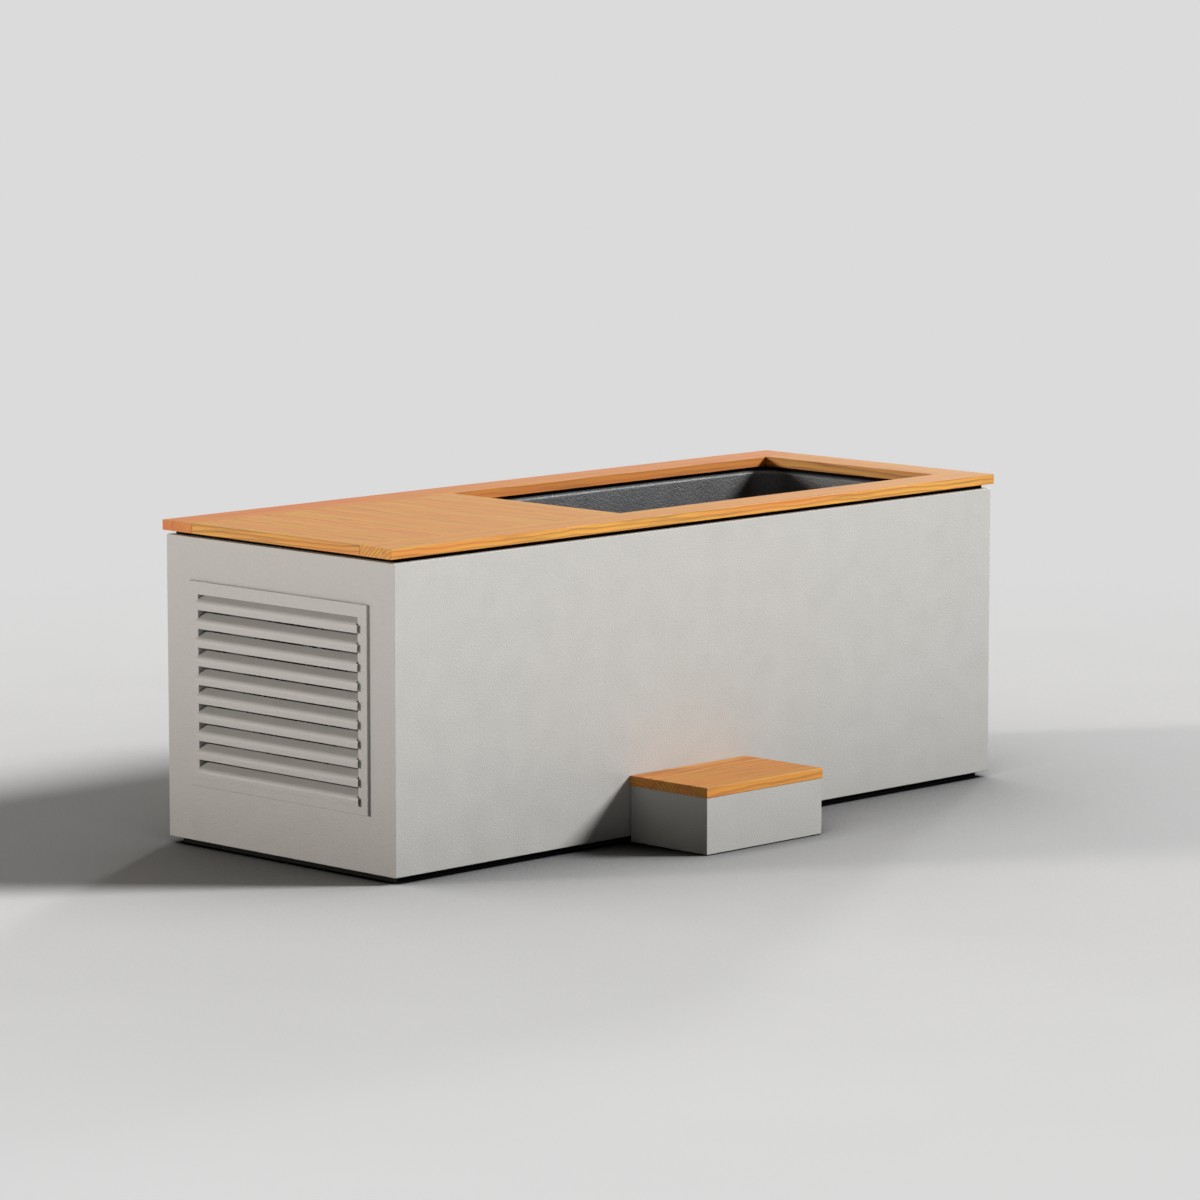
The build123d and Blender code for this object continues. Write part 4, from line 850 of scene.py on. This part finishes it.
class PLUNGE_OT_stage(bpy.types.Operator):
    """Lay the floor, hang the lamps and set up the camera."""

    bl_idname = "plunge_tub.stage"
    bl_label = "Stage"

    # Metres: how far off a lamp hangs, half the floor's width, and how far the camera sees
    LAMP_REACH, FLOOR_HALF, SIGHT = 8.0, 300.0, 900.0
    FLOOR_CELLS = 40
    # Metres from the middle of the tub at which the floor starts to fade into the backdrop, and is gone
    FADE = (2.3, 5.5)
    # Painted shade on the floor: metres over which a thing darkens the floor's paint, and how many times as
    # fast as it hides the sky
    SHADE_REACH, SHADE_GAIN = 2.5, 1.5
    # Ray lengths in metres over which the light that the floor sends back climbs from nothing to its most
    BOUNCE_NEAR, BOUNCE_FAR, BOUNCE_MOST = 0.2, 1.7, 1.15

    def execute(self, context):
        settings = context.scene.plunge_studio
        scene = context.scene
        scene.view_settings.view_transform = "Standard"

        camera = bpy.data.objects.new("camera", bpy.data.cameras.new("camera"))
        camera.data.lens = settings.lens
        camera.data.sensor_width = 36.0
        camera.data.clip_end = self.SIGHT
        camera.location = settings.place
        camera.rotation_euler = (math.pi / 2 - settings.pitch, 0.0, -settings.yaw)
        scene.collection.objects.link(camera)
        scene.camera = camera

        for name, (compass, rise, softness, strength, tint) in LAMPS.items():
            data = bpy.data.lights.new(name, "SUN")
            data.energy = strength
            data.color = linear(tint)[:3]
            data.angle = math.radians(softness)
            lamp = bpy.data.objects.new(name, data)
            flat = math.cos(math.radians(rise))
            way = Vector((
                flat * math.cos(math.radians(compass)),
                flat * math.sin(math.radians(compass)),
                math.sin(math.radians(rise)),
            ))
            lamp.location = way * self.LAMP_REACH
            lamp.rotation_euler = way.to_track_quat("Z", "Y").to_euler()
            scene.collection.objects.link(lamp)

        made = bmesh.new()
        bmesh.ops.create_grid(
            made, x_segments=self.FLOOR_CELLS, y_segments=self.FLOOR_CELLS, size=self.FLOOR_HALF
        )
        mesh = bpy.data.meshes.new("floor")
        made.to_mesh(mesh)
        made.free()
        floor = bpy.data.objects.new("floor", mesh)
        scene.collection.objects.link(floor)
        mesh.materials.append(self.floor_paint(settings))
        self.surround(scene, settings)
        return {"FINISHED"}

    def floor_paint(self, settings):
        """Matt floor paint with faint clouds, which fades into the backdrop's colour far from the tub.

        In the photograph the floor is darker round the tub than these lamps leave it, so the paint carries
        painted shade, darkening where things close in on it. The tub's sides there are lighter at the top
        than at the foot, so for diffuse rays the floor sends back light that grows with the ray's length.
        """
        made, tree, shader = new_material("matt_floor_paint")
        tone = tuple(settings.floor_colour) + (1.0,)
        place = add(tree, "TexCoord").outputs["Object"]
        cloud = add(tree, "TexNoise", {"Vector": place, "Scale": 1.2, "Detail": 3.0})
        stops = ((NOISE_LOW, shaded(tone, 0.985)), (NOISE_HIGH, shaded(tone, 1.015)))
        ramp = add(tree, "ValToRGB", {"Fac": cloud.outputs["Fac"]}, stops=stops)
        # Painted shade: the paint is darkened where ambient occlusion finds things near, standing in for the
        # shade round the tub
        open_sky = add(tree, "AmbientOcclusion", {"Distance": self.SHADE_REACH}, samples=8).outputs["AO"]
        gain = {0: open_sky, 1: self.SHADE_GAIN, 2: 1 - self.SHADE_GAIN}
        painted_shade = add(tree, "Math", gain, operation="MULTIPLY_ADD", use_clamp=True)
        shade = add(
            tree, "Mix", {0: 1.0, 6: ramp.outputs["Color"], 7: painted_shade.outputs["Value"]},
            data_type="RGBA", blend_type="MULTIPLY",
        )
        tree.links.new(shade.outputs[2], shader.inputs["Base Color"])
        shader.inputs["Roughness"].default_value = 0.9
        # No gloss at all, because the low lamps behind the tub would glare on it
        shader.inputs["Specular IOR Level"].default_value = 0.0
        path = add(tree, "LightPath")
        climb = {"From Min": self.BOUNCE_NEAR, "From Max": self.BOUNCE_FAR, "To Max": self.BOUNCE_MOST}
        sent = add(tree, "MapRange", {"Value": path.outputs["Ray Length"], **climb}).outputs["Result"]
        bounce = add(tree, "Emission", {"Color": (1.0, 0.99, 0.98, 1.0), "Strength": sent})
        near = add(
            tree, "MixShader",
            {0: path.outputs["Is Diffuse Ray"], 1: shader.outputs["BSDF"], 2: bounce.outputs["Emission"]},
        )
        away = add(tree, "VectorMath", {0: place}, operation="LENGTH").outputs["Value"]
        spread = {"Value": away, "From Min": self.FADE[0], "From Max": self.FADE[1]}
        fade = add(tree, "MapRange", spread, interpolation_type="SMOOTHSTEP").outputs["Result"]
        seen = add(tree, "Math", {0: fade, 1: path.outputs["Is Camera Ray"]}, operation="MULTIPLY")
        glow = add(tree, "Emission", {"Color": tuple(settings.backdrop) + (1.0,), "Strength": 1.0})
        ends = {0: seen.outputs["Value"], 1: near.outputs["Shader"], 2: glow.outputs["Emission"]}
        mixed = add(tree, "MixShader", ends)
        tree.links.new(mixed.outputs["Shader"], tree.nodes["Material Output"].inputs["Surface"])
        return made

    def surround(self, scene, settings):
        """Even light from all round, and the backdrop's colour where the camera or a reflection sees it."""
        world = bpy.data.worlds.new("studio")
        world.use_nodes = True
        scene.world = world
        tree = world.node_tree
        tree.nodes.clear()
        even = add(tree, "Background", {"Color": (1.0, 1.0, 1.0, 1.0), "Strength": settings.ambient})
        drop = add(tree, "Background", {"Color": tuple(settings.backdrop) + (1.0,), "Strength": 1.0})
        rays = add(tree, "LightPath").outputs
        seen = rays["Is Camera Ray"]
        for other in ("Is Glossy Ray", "Is Transmission Ray"):
            seen = add(tree, "Math", {0: seen, 1: rays[other]}, operation="MAXIMUM").outputs["Value"]
        mixed = add(tree, "MixShader", {0: seen, 1: even.outputs[0], 2: drop.outputs[0]})
        end = add(tree, "OutputWorld", {"Surface": mixed.outputs["Shader"]})
        end.is_active_output = True


class PLUNGE_PT_panel(bpy.types.Panel):
    """The tub's pieces and settings in the sidebar."""

    bl_idname = "PLUNGE_PT_panel"
    bl_label = "Cold plunge tub"
    bl_space_type = "VIEW_3D"
    bl_region_type = "UI"
    bl_category = "Plunge tub"

    def draw(self, context):
        for operator in OPERATORS:
            self.layout.operator(operator.bl_idname)
        for key, group in SETTINGS.items():
            box = self.layout.box()
            box.label(text=group.__doc__)
            for name in group.__annotations__:
                box.prop(getattr(context.scene, key), name)


OPERATORS = (
    PLUNGE_OT_stage,
    PLUNGE_OT_casing,
    PLUNGE_OT_grille,
    PLUNGE_OT_deck,
    PLUNGE_OT_cover,
    PLUNGE_OT_step,
    PLUNGE_OT_basin,
    PLUNGE_OT_fan,
    PLUNGE_OT_machines,
)
SETTINGS = {
    "plunge_timber": PlungeTimberSettings,
    "plunge_grille": PlungeGrilleSettings,
    "plunge_basin": PlungeBasinSettings,
    "plunge_fan": PlungeFanSettings,
    "plunge_studio": PlungeStudioSettings,
}


def register():
    for group in (*SETTINGS.values(), *OPERATORS, PLUNGE_PT_panel):
        bpy.utils.register_class(group)
    for key, group in SETTINGS.items():
        setattr(bpy.types.Scene, key, PointerProperty(type=group))


def unregister():
    for key in SETTINGS:
        delattr(bpy.types.Scene, key)
    for group in reversed((*SETTINGS.values(), *OPERATORS, PLUNGE_PT_panel)):
        bpy.utils.unregister_class(group)


def main():
    """Builds the whole scene."""
    register()
    for operator in OPERATORS:
        group, name = operator.bl_idname.split(".")
        getattr(getattr(bpy.ops, group), name)()


if __name__ == "__main__":
    main()
